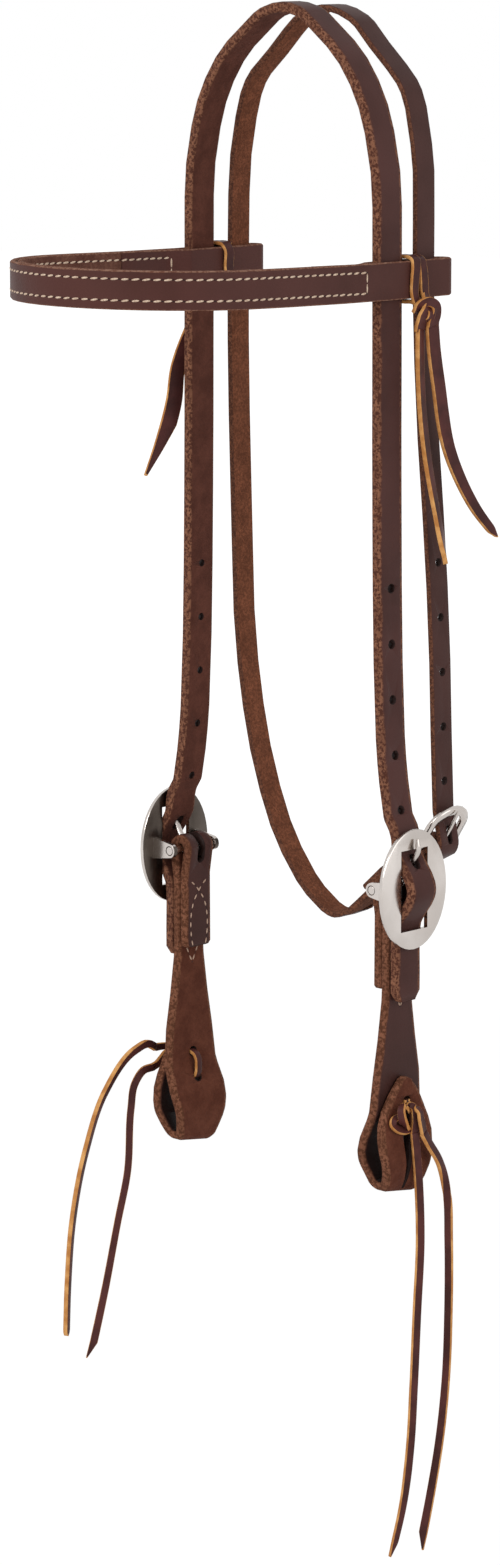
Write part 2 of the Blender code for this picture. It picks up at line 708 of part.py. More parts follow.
THROAT_ARCH_SHARES = (
    # out as a share of the spread, down as a share of the browband's drop
    (0.0, 0.0), (0.27, 0.036), (0.542, 0.155), (0.826, 0.289), (0.964, 0.515), (1.0, 1.0),
)
THROAT_SIDE_SHARES = (
    # out from the spread at the browband to the widest, down to the heel bar, back to the lowest place
    (0.25, 0.20, 0.10), (0.85, 0.50, 0.47), (1.0, 0.642, 0.62),
)
THROAT_LOOP_SHARES = (
    # out as a share of the widest, down as a share of the depth below the browband, back
    (0.952, 0.666, 0.73), (0.823, 0.787, 0.80), (0.645, 0.883, 0.88), (0.516, 0.926, 0.92),
    (0.306, 0.974, 0.97), (0.048, 1.0, 1.0), (-0.145, 0.986, 1.0),
)
FOLD_BOW_SHARES = (
    # along as a share of the fold's length, over as a share of the strap's thickness
    (0.02, -0.55), (0.12, -0.50), (0.28, 0.15), (0.53, 0.75), (0.80, 0.60), (1.04, 0.55),
)


def throat_spread():
    """The throatlatch lies flush with the crown strap's inner side at the browband."""
    return CROWN_SPREAD - (CROWN_THICKNESS - THROAT_THICKNESS) / 2


def throat_back(share):
    return THROAT_BACK + (THROAT_BACK_LOW - THROAT_BACK) * share


def throat_side(sign):
    """From the arch's foot down to the level of the loop."""
    points = []
    for out, down, back in THROAT_SIDE_SHARES:
        x = throat_spread() + (THROAT_SPREAD - throat_spread()) * out
        z = -BROWBAND_DROP - (HEEL_BAR_DROP - BROWBAND_DROP) * down
        points.append((sign * x, throat_back(back), z))
    return points


def throat_arch(sign):
    drop = BROWBAND_DROP + THROAT_THICKNESS / 2
    rise = THROAT_BACK_TOP - THROAT_BACK
    return [
        (sign * throat_spread() * out, THROAT_BACK + rise * (1 - down), THROAT_THICKNESS / 2 - drop * down)
        for out, down in THROAT_ARCH_SHARES
    ]


def at_heel(point):
    return (HEEL_BAR_X + point[0], HEEL_BAR_BACK, -HEEL_BAR_DROP + point[1])


def fold_layer(shares, lift):
    """One layer of the folded end, lifted from the main layer's bow."""
    line = [(THROAT_FOLD_LENGTH * along, THROAT_THICKNESS * over + lift) for along, over in shares]
    return [at_heel(fold_point(*place)) for place in line]


HEEL_BILLET_SHARES = (
    # up the buckle as a share of the rim's reach, out as a share of the billet's thickness
    (0.341, 1.00), (0.746, -1.50),
)


def throat_route():
    """From the billet's tail, through the buckle, over the poll, round the throat and back to the fold."""
    layer = THROAT_THICKNESS + THROAT_LAYER_SPARE
    tail = []
    for share in (1.0, 0.66, 0.33):
        bow = np.interp(
            THROAT_TAIL * share / THROAT_FOLD_LENGTH, [row[0] for row in FOLD_BOW_SHARES],
            [row[1] for row in FOLD_BOW_SHARES],
        )
        splay = THROAT_TAIL_SPLAY * share ** 3
        tail.append(at_heel(fold_point(THROAT_TAIL * share, THROAT_THICKNESS * float(bow) - layer - splay)))
    turn = [at_heel(p) for p in arc((0, 0), BILLET_TURN, -math.pi / 2 + FOLD_SLOPE, BILLET_OFF_TURN, 8)]
    through = [at_heel(heel_point(RIM_REACH * up, THROAT_THICKNESS * out)) for up, out in HEEL_BILLET_SHARES]
    near = [*tail, *turn, *through, *reversed(throat_side(1.0)), *reversed(throat_arch(1.0))]
    far = [*throat_arch(-1.0)[1:], *throat_side(-1.0)]
    depth = THROAT_DEPTH - BROWBAND_DROP
    loop = []
    for out, down, back in THROAT_LOOP_SHARES:
        loop.append((-THROAT_SPREAD * out, throat_back(back), -BROWBAND_DROP - depth * down))
    main = fold_layer(reversed(FOLD_BOW_SHARES[1:]), 0)
    start, end = FOLD_SLOPE - math.pi / 2 - EYE_OVERWRAP, FOLD_SLOPE + math.pi / 2 + EYE_OVERWRAP
    eye = [at_heel(p) for p in arc((0, 0), THROAT_EYE, start, end, 15)]
    short = fold_layer(FOLD_BOW_SHARES[1:-1], layer)
    return Route([*near, *far, *loop, *main, *eye, *short], (0, 1, 0), -1.0)


def throatlatch_strap(material):
    route = throat_route()
    half, side = THROAT_WIDTH / 2, THROAT_THICKNESS / 2
    clipped = half - THROAT_TAIL_CLIP * 0.75
    widths = taper(((0, clipped), (THROAT_TAIL_CLIP, half), (route.length, half)))
    up, out = HEEL_BILLET_SHARES[0]
    crossing = route.nearest(at_heel(heel_point(RIM_REACH * up, THROAT_THICKNESS * out)))
    half_hole = THROAT_TONGUE_HOLE_LENGTH / 2
    cuts = [slot_punch(
        "throat_tongue_hole", crossing - half_hole, crossing + half_hole, THROAT_TONGUE_HOLE, THROAT_THICKNESS
    )]
    for i in range(1, THROAT_HOLES + 1):
        place = crossing + i * HOLE_PITCH
        cuts.append(round_punch(f"throat_hole_{i}", place, THROAT_HOLE_DIAMETER, THROAT_THICKNESS))
    bar = route.nearest(at_heel((THROAT_EYE * math.cos(FOLD_SLOPE), THROAT_EYE * math.sin(FOLD_SLOPE))))
    cuts.append(slot_punch(
        "throat_tongue_slot", bar - THROAT_SLOT_LENGTH / 2, bar + THROAT_SLOT_LENGTH / 2, THROAT_SLOT_WIDTH,
        THROAT_THICKNESS,
    ))
    up, out = HEEL_BILLET_SHARES[1]
    behind_rim = route.nearest(at_heel(heel_point(RIM_REACH * up, THROAT_THICKNESS * out)))
    stations = route.stations([THROAT_TAIL_CLIP, crossing, behind_rim])
    flat = extrude_flat(stations, lambda u: strap_section(widths(u), side, EDGE_CHAMFER))
    bm = lay(boolean(flat, cuts, "DIFFERENCE"), route, stations)
    return mesh_object("throatlatch_strap", bm, None, material)


HEEL_FRAME = HEEL @ Matrix.Rotation(BUCKLE_TILT, 4, "Y")


def throatlatch_frame(material):
    """A horseshoe rim, bent from flat bar, whose feet hold the heel bar."""
    turn_height = RIM_REACH - RIM_HALF_WIDTH * 0.86
    crown = [
        (RIM_HALF_WIDTH * math.cos(a), turn_height + (RIM_REACH - turn_height) * math.sin(a))
        for a in np.linspace(0, math.pi, 13)
    ]
    foot = RIM_WIDTH * 0.42
    line = [(RIM_HALF_WIDTH * 0.97, -foot), (RIM_HALF_WIDTH, turn_height / 2), *crown]
    line += [(-RIM_HALF_WIDTH, turn_height / 2), (-RIM_HALF_WIDTH * 0.97, -foot)]
    route = Route([(0, y, z) for y, z in line], (1, 0, 0), 1.0)
    bm = lay(extrude_flat(
        route.stations((), LACE_TURN, LONGEST_SPAN),
        lambda u: strap_section(RIM_THICKNESS / 2, RIM_WIDTH / 2, EDGE_CHAMFER * 0.9),
    ), route)
    bar = bmesh.new()
    bmesh.ops.create_cone(
        bar, cap_ends=True, segments=12, radius1=HEEL_BAR_RADIUS, radius2=HEEL_BAR_RADIUS,
        depth=2 * RIM_HALF_WIDTH, matrix=Matrix.Rotation(math.pi / 2, 4, "X"),
    )
    bm = boolean(bm, [cutter("heel_bar", bar)], "UNION")
    return mesh_object("throatlatch_buckle_frame", bm, HEEL_FRAME, material)


def throatlatch_tongue(material):
    rest = RIM_THICKNESS / 2 + CLEARANCE + HEEL_TONGUE_DEPTH / 2
    line = HEEL_BAR_RADIUS + CLEARANCE + HEEL_TONGUE_DEPTH / 2
    bends = [(line, RIM_REACH * 0.42), (rest, RIM_REACH * 0.80), (rest, RIM_REACH + RIM_WIDTH * 0.30)]
    bm = wrapped_tongue(
        HEEL_BAR_RADIUS, HEEL_TONGUE_DEPTH, HEEL_TONGUE_WIDTH, HEEL_TONGUE_WIDTH, HEEL_TONGUE_DEPTH, bends
    )
    return mesh_object("throatlatch_buckle_tongue", bm, HEEL_FRAME, material, HEEL.translation)


# Browband

OUTER_X = CROWN_SPREAD + CROWN_THICKNESS / 2 + CLEARANCE + BROWBAND_THICKNESS / 2
RETURN_X = CROWN_SPREAD - CROWN_THICKNESS / 2 - CLEARANCE - BROWBAND_THICKNESS / 2
FRONT_Y = -(BROWBAND_REACH - OUTER_X - BROWBAND_THICKNESS / 2)
SPLICE_Y = -(STITCH_START + RETURN_LENGTH)


def band_height(y):
    """The band climbs a little towards the brow."""
    share = min(1.0, max(0.0, -(y + STITCH_START) / (BROWBAND_REACH - STITCH_START)))
    return -BROWBAND_DROP + BROWBAND_RISE * share


def band_front(x_half, count):
    """The front bend of a layer whose sides lie this far out."""
    bend = arc((0, FRONT_Y), x_half, 0, -math.pi, count)
    return [*bend]


def outer_route():
    """From the near splice back inside, round the throatlatch, round the brow and the same on the other."""
    inside = OUTER_X - BROWBAND_THICKNESS - CLEARANCE
    fold = (OUTER_X - RETURN_X) / 2
    middle = (OUTER_X + RETURN_X) / 2
    back = LOOP_BACK - BROWBAND_THICKNESS / 2 - fold
    straps_front = -(CROWN_WIDTH / 2 + CLEARANCE * 4)
    near = [
        (inside, SPLICE_Y), (inside, (SPLICE_Y - STITCH_START) / 2), (inside, -STITCH_START * 1.04),
        (RETURN_X, straps_front), (RETURN_X, straps_front + CROWN_WIDTH / 4), (RETURN_X, back * 0.45),
        *arc((middle, back), fold, math.pi, 0, 13),
        (OUTER_X, back * 0.40), (OUTER_X, FRONT_Y * 0.5),
    ]
    flat = [*near, *band_front(OUTER_X, 19), *[(-x, y) for x, y in reversed(near)]]
    return Route([(x, y, band_height(y)) for x, y in flat], (0, 0, 1), -1.0)


def browband_outer(route, stations, material):
    flat = extrude_flat(
        stations, lambda u: strap_section(BROWBAND_WIDTH / 2, BROWBAND_THICKNESS / 2, EDGE_CHAMFER)
    )
    return mesh_object("browband_outer", lay(flat, route), None, material, BAND_MIDDLE)


def browband_lining(route, stations, material):
    """The lining follows the outer strap's own bends, so the two stay the same distance apart."""
    start_at = (OUTER_X, SPLICE_Y - SPLICE_GAP, band_height(SPLICE_Y))
    start = route.nearest(start_at)
    end = route.length - start
    inner = [u for u in stations if start + SAMPLE_STEP < u < end - SAMPLE_STEP]
    lift = BROWBAND_THICKNESS / 2 + CLEARANCE + LINING_THICKNESS / 2
    section = strap_section(BROWBAND_WIDTH / 2, LINING_THICKNESS / 2, EDGE_CHAMFER)
    flat = extrude_flat([start, *inner, end], lambda u: [(across, out - lift) for across, out in section])
    return mesh_object("browband_lining", lay(flat, route), None, material, BAND_MIDDLE)


# Ties

TIE_Y = (CROWN_WIDTH / 2 + THROAT_BACK - THROAT_WIDTH / 2) / 2
BAND_TURN_SHARES = (
    # Two turns of the knot, each out, back and up from the band's lower edge, in widths of the lace
    (
        (0.40, 0.30, 0.55), (0.62, 0.22, 0.10), (0.86, -0.05, -0.35), (0.72, -0.34, -0.85),
        (0.52, -0.20, -1.40),
    ),
    (
        (0.30, -0.38, -0.42), (0.55, -0.20, -0.12), (0.82, 0.20, -0.06), (0.98, 0.52, -0.42),
        (0.80, 0.50, -1.30),
    ),
)
BIT_TURN_SHARES = {
    # The same for the bit's lace, from the middle of the tie on the flap's face, in widths of the lace
    "near": (
        ((0.10, 0.0, 1.35), (0.62, -0.30, 1.35), (0.95, -0.75, 0.60), (0.95, -0.40, -0.40),
        (0.62, 0.10, -1.50)),
        ((0.10, 0.0, -1.35), (0.62, 0.60, -0.95), (1.15, 0.85, -0.10), (1.38, 0.35, 0.50),
        (1.50, -0.35, 0.15),
         (1.42, 0.20, -0.90), (1.32, 0.75, -1.55)),
    ),
    "far": (
        ((0.10, 0.0, 1.35), (0.62, -0.30, 1.35), (0.90, -0.95, 1.10), (0.95, -1.60, 1.25),
        (1.00, -2.30, 1.70)),
        ((0.10, 0.0, -1.35), (0.62, 0.60, -0.95), (1.15, 0.85, -0.10), (1.38, 0.35, 0.40),
        (1.50, -0.40, 0.20),
         (1.45, -1.40, -0.20), (1.30, -2.40, -0.45)),
    ),
}


def lace_piece(points, across, width, thickness, tip=0.0, facing=None):
    """A flat lace along a route, which may run out to a cut tip."""
    route = Route(points, across, 1.0, facing)
    end = route.length
    half = width / 2
    widths = taper(((0, half), (end - max(tip, SAMPLE_STEP), half), (end, half * (0.30 if tip else 1.0))))
    forced = [end - tip] if tip else []
    flat = extrude_flat(
        route.stations(forced, LACE_TURN, LONGEST_SPAN / 2),
        lambda u: strap_section(widths(u), thickness / 2, LACE_CHAMFER),
    )
    return lay(flat, route)


CORNER_STEPS = 5


def round_corners(corners, radius):
    """A closed line round the corners, each turned on its radius."""
    line = []
    for i, corner in enumerate(corners):
        here = Vector(corner)
        enter = here + (Vector(corners[i - 1]) - here).normalized() * radius
        leave = here + (Vector(corners[(i + 1) % len(corners)]) - here).normalized() * radius
        for t in np.linspace(0, 1, CORNER_STEPS):
            line.append(tuple(enter * (1 - t) ** 2 + here * (2 * t * (1 - t)) + leave * t * t))
    return line


def turns(name, table, corner, width, thickness):
    """The knot's turns, as cutters that are joined to the lace."""
    made = []
    for i, points in enumerate(table):
        line = [tuple(corner[axis] + width * point[axis] for axis in range(3)) for point in points]
        bm = lace_piece(line, None, width * KNOT_WIDTH_SHARE, thickness * KNOT_THICK_SHARE, facing=(1, 0, 0))
        made.append(cutter(f"{name}_{i}", bm))
    return made


def band_tie(side, place, material):
    """The lace round both layers of the band, between the two straps, and its knot under the band."""
    gap = CLEARANCE + TIE_LACE_THICKNESS / 2
    outside = OUTER_X + BROWBAND_THICKNESS / 2 + gap
    inside = RETURN_X - BROWBAND_THICKNESS / 2 - gap
    top = -BROWBAND_DROP + BROWBAND_WIDTH / 2 + gap
    low = -BROWBAND_DROP - BROWBAND_WIDTH / 2 - gap
    bend = TIE_LACE_THICKNESS * 1.2
    start = outside - TIE_LACE_THICKNESS * 0.65
    wrap = round_corners([(start, low), (inside, low), (inside, top), (outside, top)], bend)
    line = [(start, low), *wrap[CORNER_STEPS:], (outside, -BROWBAND_DROP), (outside, low + bend)]
    line.append((outside + TIE_LACE_THICKNESS / 2, low))
    line.append((outside + TIE_LACE_THICKNESS, low - TIE_LACE_THICKNESS))
    bm = lace_piece([(x, TIE_Y, z) for x, z in line], (0, 1, 0), TIE_LACE_WIDTH, TIE_LACE_THICKNESS)
    corner = (outside - TIE_LACE_THICKNESS / 2, TIE_Y, low)
    knot = turns(side + "_band_turn", BAND_TURN_SHARES, corner, TIE_LACE_WIDTH, TIE_LACE_THICKNESS)
    return mesh_object(side + "_browband_tie_knot", boolean(bm, knot, "UNION"), place, material, BAND_MIDDLE)


def bit_tie(side, place, material):
    """The lace's bight inside the leg, its two runs through both layers, and its knot on the flap."""
    tie = -BIT_DROP * TIE_SHARE
    half = LACE_HOLE_PITCH / 2
    low, high = tie - half * 0.92, tie + half
    inner = min(leg_at(low), leg_at(high)) - BIT_THICKNESS / 2 - 4 * CLEARANCE - BIT_LACE_THICKNESS / 2
    face = flap_at(high) + BIT_THICKNESS / 2 + CLEARANCE
    outer = face + BIT_LACE_THICKNESS
    bend = BIT_LACE_THICKNESS * 0.9
    corner = bend * 0.3
    line = [
        (outer, high), (inner + bend, high), (inner + corner, high - corner), (inner, high - bend),
        (inner, low + bend), (inner + corner, low + corner), (inner + bend, low), (outer, low),
    ]
    route = [(x, 0, z) for x, z in line]
    bm = lace_piece(route, (0, 1, 0), BIT_LACE_WIDTH * BIGHT_SHARE, BIT_LACE_THICKNESS * BIGHT_THIN_SHARE)
    middle = (face + BIT_LACE_THICKNESS / 2, 0, tie)
    knot = turns(side + "_bit_turn", BIT_TURN_SHARES[side], middle, BIT_LACE_WIDTH, BIT_LACE_THICKNESS)
    bm = boolean(bm, knot, "UNION")
    return mesh_object(side + "_bit_tie_knot", bm, place @ CHEEK, material, swing_axis(side))


# Free lace tails, each a route chosen by hand

TAILS = {
    "near_browband_tail_long": (
        (0.0707, 0.0173, -0.1388), (0.0706, 0.0184, -0.1480), (0.0700, 0.0222, -0.1643),
        (0.0703, 0.0303, -0.1972),
        (0.0712, 0.0372, -0.2110), (0.0722, 0.0445, -0.2222), (0.0740, 0.0584, -0.2378),
    ),
    "near_browband_tail_short": (
        (0.0688, 0.0114, -0.1398), (0.0688, 0.0113, -0.1500), (0.0686, 0.0130, -0.1753),
        (0.0689, 0.0165, -0.1988),
        (0.0700, 0.0230, -0.2285), (0.0705, 0.0275, -0.2475),
    ),
    "far_browband_tail_long": (
        (-0.0690, 0.0108, -0.1408), (-0.0692, 0.0070, -0.1450), (-0.0694, 0.0025, -0.1524),
        (-0.0697, -0.0035, -0.1660), (-0.0702, -0.0055, -0.1810), (-0.0708, -0.0120, -0.2000),
        (-0.0715, -0.0190, -0.2163),
    ),
    "far_browband_tail_short": (
        (-0.0707, 0.0175, -0.1388), (-0.0708, 0.0183, -0.1500), (-0.0710, 0.0180, -0.1700),
        (-0.0714, 0.0170, -0.1860), (-0.0716, 0.0165, -0.2010),
    ),
    "near_bit_tail_front": (
        (0.0775, 0.0008, -0.5060), (0.0776, 0.0020, -0.5150), (0.0774, 0.0036, -0.5272),
        (0.0773, 0.0053, -0.5566),
        (0.0772, 0.0034, -0.5922), (0.0770, 0.0016, -0.6277), (0.0768, -0.0002, -0.6544),
        (0.0765, -0.0045, -0.6812), (0.0760, -0.0119, -0.7053),
    ),
    "near_bit_tail_rear": (
        (0.0804, 0.0036, -0.5062), (0.0806, 0.0070, -0.5115), (0.0808, 0.0139, -0.5212),
        (0.0804, 0.0204, -0.5400),
        (0.0800, 0.0219, -0.5596), (0.0795, 0.0226, -0.5955), (0.0790, 0.0216, -0.6278),
        (0.0786, 0.0182, -0.6547), (0.0780, 0.0125, -0.6815), (0.0772, 0.0064, -0.7059),
    ),
    "far_bit_tail_front": (
        (-0.0791, -0.0101, -0.4909), (-0.0795, -0.0145, -0.4885), (-0.0798, -0.0230, -0.4902),
        (-0.0805, -0.0424, -0.5075), (-0.0815, -0.0541, -0.5335), (-0.0825, -0.0620, -0.5660),
        (-0.0835, -0.0644, -0.5962), (-0.0840, -0.0652, -0.6221),
    ),
    "far_bit_tail_rear": (
        (-0.0802, -0.0107, -0.5006), (-0.0803, -0.0170, -0.5012), (-0.0803, -0.0230, -0.5070),
        (-0.0802, -0.0255, -0.5180), (-0.0800, -0.0283, -0.5490), (-0.0800, -0.0349, -0.5720),
        (-0.0800, -0.0431, -0.6020), (-0.0800, -0.0535, -0.6350),
    ),
}
TAIL_ACROSS = {
    "near_browband_tail_long": (0.73, 0.68, 0.10), "near_browband_tail_short": (0.60, -0.80, 0.0),
    "far_browband_tail_long": (0.0, 1.0, -0.2), "far_browband_tail_short": (0.6, 0.8, 0.0),
    "near_bit_tail_front": (0.0, 1.0, 0.0), "near_bit_tail_rear": (0.10, 1.0, 0.25),
    "far_bit_tail_front": (0.0, 0.4, 1.0), "far_bit_tail_rear": (0.0, 1.0, 0.3),
}


def tail(name, points, material):
    band = "browband" in name
    width = TIE_LACE_WIDTH if band else BIT_LACE_WIDTH
    thickness = TIE_LACE_THICKNESS if band else BIT_LACE_THICKNESS
    bm = lace_piece(points, TAIL_ACROSS[name], width, thickness, LACE_TIP * (2.4 if band else 1.4))
    return mesh_object(name, bm, None, material, BAND_MIDDLE if band else swing_axis(name.split("_")[0]))


clear_scene()
HEADSTALL = collection("western_headstall")
CUTTERS = collection("cutters")
BRIDLE_LEATHER = finish("bridle_leather", (0.078, 0.030, 0.026), 0.48, 0.0)
FLESH_LEATHER = finish("flesh_leather", (0.170, 0.070, 0.034), 0.75, 0.0)
LATIGO = finish("latigo_lace", (0.110, 0.030, 0.030), 0.55, 0.0)
STAINLESS = finish("stainless", (0.60, 0.57, 0.54), 0.22, 1.0)

crown_strap(BRIDLE_LEATHER)
throatlatch_strap(BRIDLE_LEATHER)
throatlatch_frame(STAINLESS)
throatlatch_tongue(STAINLESS)
BAND_ROUTE = outer_route()
BAND_STATIONS = BAND_ROUTE.stations()
browband_outer(BAND_ROUTE, BAND_STATIONS, BRIDLE_LEATHER)
browband_lining(BAND_ROUTE, BAND_STATIONS, FLESH_LEATHER)
for side_name, side_place in SIDES:
    bit_end(side_name, side_place, BRIDLE_LEATHER)
    cheek_plate(side_name, side_place, STAINLESS)
    cheek_bar(side_name, side_place, STAINLESS)
    cheek_tongue(side_name, side_place, STAINLESS)
    band_tie(side_name, side_place, LATIGO)
    bit_tie(side_name, side_place, LATIGO)
for tail_name, tail_points in TAILS.items():
    tail(tail_name, tail_points, LATIGO)
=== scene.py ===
# %% [markdown]
# # Dressing a western headstall
# A headstall is the part of a bridle that hangs from the horse's poll and carries the bit. This one is cut
# from dark oiled leather, buckled at both cheeks and tied with laces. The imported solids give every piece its
# true size and place. This lesson gives each one the surface of the real thing.

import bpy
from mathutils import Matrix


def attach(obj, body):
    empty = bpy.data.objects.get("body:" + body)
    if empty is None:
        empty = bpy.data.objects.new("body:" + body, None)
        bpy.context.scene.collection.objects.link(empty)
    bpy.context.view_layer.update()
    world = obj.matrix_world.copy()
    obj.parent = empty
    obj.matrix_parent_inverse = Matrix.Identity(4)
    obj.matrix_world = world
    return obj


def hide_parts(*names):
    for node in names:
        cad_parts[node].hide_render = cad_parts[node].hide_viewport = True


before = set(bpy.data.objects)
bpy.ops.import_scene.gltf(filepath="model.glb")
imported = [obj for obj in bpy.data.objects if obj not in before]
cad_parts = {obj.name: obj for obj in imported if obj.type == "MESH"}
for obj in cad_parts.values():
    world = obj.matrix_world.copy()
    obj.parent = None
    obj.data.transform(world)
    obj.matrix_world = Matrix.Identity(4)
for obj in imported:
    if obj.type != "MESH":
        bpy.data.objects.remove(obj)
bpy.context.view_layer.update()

# %% [markdown]
# ## Small tools
# Colours are easiest to choose as the hex values a picture editor shows, but Blender mixes light with linear
# numbers, so one function turns the one into the other. Another adds a shader node with its settings and links.

# %% Colours and nodes
import math
import random

import bmesh
import bpy
import numpy as np
from mathutils import Matrix, Vector
from mathutils.bvhtree import BVHTree

MM = 0.001


def linear(hex_code):
    """An sRGB hex colour as the linear numbers that shaders use."""
    parts = [int(hex_code[i:i + 2], 16) / 255 for i in (1, 3, 5)]
    return tuple(c / 12.92 if c <= 0.04045 else ((c + 0.055) / 1.055) ** 2.4 for c in parts) + (1.0,)


def add(tree, kind, values=None, links=None, **settings):
    """A new node with its properties set, its sockets given values, and its sources linked to it."""
    node = tree.nodes.new(kind)
    for name, value in settings.items():
        setattr(node, name, value)
    for socket, value in (values or {}).items():
        node.inputs[socket].default_value = value
    for socket, source in (links or {}).items():
        tree.links.new(source, node.inputs[socket])
    return node


def new_material(name):
    """An empty material with a Principled shader, and that shader."""
    made = bpy.data.materials.new(name)
    made.use_nodes = True
    made.node_tree.nodes.clear()
    shader = add(made.node_tree, "ShaderNodeBsdfPrincipled")
    add(made.node_tree, "ShaderNodeOutputMaterial", links={"Surface": shader.outputs["BSDF"]})
    return made, made.node_tree, shader


print("oiled leather in linear light:", [round(c, 3) for c in linear("#4f322f")])

# %% [markdown]
# ## Camera
# The photograph looks at the near side from in front, a little from above, through a long lens. The camera
# stands at that place. A small shift keeps the straps upright, as the photographer's lens did.

# %% Camera
CAMERA_PLACE = Vector((1.5334, -1.6111, 0.0630))
CAMERA_TURN = math.radians(44.07)
CAMERA_DIP = math.radians(8.78)

lens = bpy.data.cameras.new("camera")
lens.sensor_width = 36.0
lens.lens = 112.5
lens.shift_y = -0.10
lens.clip_start = 0.05
lens.clip_end = 60.0
camera = bpy.data.objects.new("camera", lens)
camera.location = CAMERA_PLACE
camera.rotation_euler = (math.pi / 2 - CAMERA_DIP, 0, CAMERA_TURN)
bpy.context.scene.collection.objects.link(camera)
bpy.context.scene.camera = camera
print("camera stands", round(CAMERA_PLACE.length, 2), "m from the poll")

# %% [markdown]
# ## A line that leather follows
# Laces and thread need a smooth line through a few chosen points, and at each place on it three directions:
# along the line, across the strip and out of its face. A piecewise cubic gives the line. Turning a fixed
# direction square to the line gives the other two.

# %% Smooth lines
def smooth_line(points, step=0.8 * MM):
    """A smooth line through the points, sampled closely."""
    points = np.asarray(points, float)
    spans = np.diff(points, axis=0)
    chords = np.linalg.norm(spans, axis=1)
    slopes = spans / chords[:, None]
    weight = chords[1:, None] / (chords[:-1, None] + chords[1:, None])
    tangents = np.vstack([slopes[:1], slopes[:-1] * weight + slopes[1:] * (1 - weight), slopes[-1:]])
    line = [points[0]]
    for i, chord in enumerate(chords):
        leave, enter = tangents[i] * chord, tangents[i + 1] * chord
        for t in np.linspace(0, 1, max(2, math.ceil(chord / step) + 1))[1:]:
            start = (1 + 2 * t) * (1 - t) ** 2 * points[i] + t * (1 - t) ** 2 * leave
            line.append(start + t * t * (3 - 2 * t) * points[i + 1] + t * t * (t - 1) * enter)
    return np.array(line)


def directions(line, across=None, facing=None):
    """Along, across and out at every sample, from one direction across the strip or out of its face."""
    along = np.gradient(line, axis=0)
    along = along / np.linalg.norm(along, axis=1)[:, None]
    turned = np.broadcast_to(np.asarray(across if facing is None else facing, float), line.shape)
    if facing is not None:
        turned = np.cross(turned, along)
    wide = turned - np.sum(turned * along, axis=1)[:, None] * along
    wide = wide / np.linalg.norm(wide, axis=1)[:, None]
    return along, wide, np.cross(along, wide)


def link_piece(name, bm, material, body, stands_for=()):
    """The bmesh as a new object that rides on a body of the frame."""
    mesh = bpy.data.meshes.new(name)
    bm.to_mesh(mesh)
    bm.free()
    piece = bpy.data.objects.new(name, mesh)
    bpy.context.scene.collection.objects.link(piece)
    mesh.materials.append(material)
    mesh.shade_smooth()
    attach(piece, body)
    if stands_for:
        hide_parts(*stands_for)
    return piece


# %% [markdown]
# ## Latigo lace
# The ties are latigo: leather that is stuffed with oils and cut into strips. Its face is dyed burgundy, but the
# dye doesn't go through, so each cut edge shows bright tan. A face attribute tells the material where an edge is.

# %% Latigo material
def mapped_range(tree, source, low, high, to_low=0.0, to_high=1.0, kind="SMOOTHSTEP"):
    """A value stretched so that low and high become two other values."""
    node = add(
        tree, "ShaderNodeMapRange", {"From Min": low, "From Max": high, "To Min": to_low, "To Max": to_high},
        {"Value": source}, interpolation_type=kind,
    )
    return node.outputs["Result"]


def mix_colour(tree, factor, first, second, blend="MIX"):
    """Two colours mixed. Each is a linear colour or the output of a node."""
    node = add(tree, "ShaderNodeMix", data_type="RGBA", blend_type=blend, clamp_factor=True)
    for socket, value in ((0, factor), (6, first), (7, second)):
        if isinstance(value, (tuple, float, int)):
            node.inputs[socket].default_value = value
        else:
            tree.links.new(value, node.inputs[socket])
    return node.outputs[2]


def noise(tree, where, size, detail=4.0, roughness=0.55):
    """A noise whose blotches are about size metres across."""
    node = add(
        tree, "ShaderNodeTexNoise", {"Scale": 0.5 / size, "Detail": detail, "Roughness": roughness}, {"Vector": where}
    )
    return node.outputs["Fac"]


latigo, tree, shader = new_material("latigo_lace_dyed_face")
place = add(tree, "ShaderNodeTexCoord").outputs["Object"]
faces = add(tree, "ShaderNodeVertexColor", layer_name="faces").outputs["Color"]
split = add(tree, "ShaderNodeSeparateColor", links={"Color": faces})
wobble = noise(tree, place, 1.2 * MM)
cut = add(tree, "ShaderNodeMath", {1: 0.5}, {0: wobble}, operation="SUBTRACT").outputs[0]
cut = add(tree, "ShaderNodeMath", {1: 0.8}, {0: cut, 2: split.outputs["Red"]}, operation="MULTIPLY_ADD").outputs[0]
cut = mapped_range(tree, cut, 0.42, 0.62)
face = mix_colour(tree, mapped_range(tree, noise(tree, place, 9 * MM), 0.35, 0.65), linear("#3d211f"), linear("#552e2b"))
tan = mix_colour(tree, mapped_range(tree, noise(tree, place, 3 * MM), 0.35, 0.7), linear("#b67a42"), linear("#dba465"))
tree.links.new(mix_colour(tree, cut, face, tan), shader.inputs["Base Color"])
tree.links.new(mapped_range(tree, cut, 0, 1, 0.42, 0.75, "LINEAR"), shader.inputs["Roughness"])
shader.inputs["Specular IOR Level"].default_value = 0.12
fine = noise(tree, place, 0.7 * MM, 3.0)
bump = add(tree, "ShaderNodeBump", {"Strength": 0.25, "Distance": 0.15 * MM}, {"Height": fine})
tree.links.new(bump.outputs["Normal"], shader.inputs["Normal"])
print("latigo nodes:", len(tree.nodes))

# %% [markdown]
# ## Lace strands
# A lace is a flat strip. A ring with the strip's section is extruded from place to place along the line, and the
# last ring is closed. The points next to the edge sit close to it, so the dyed face meets the tan edge sharply.

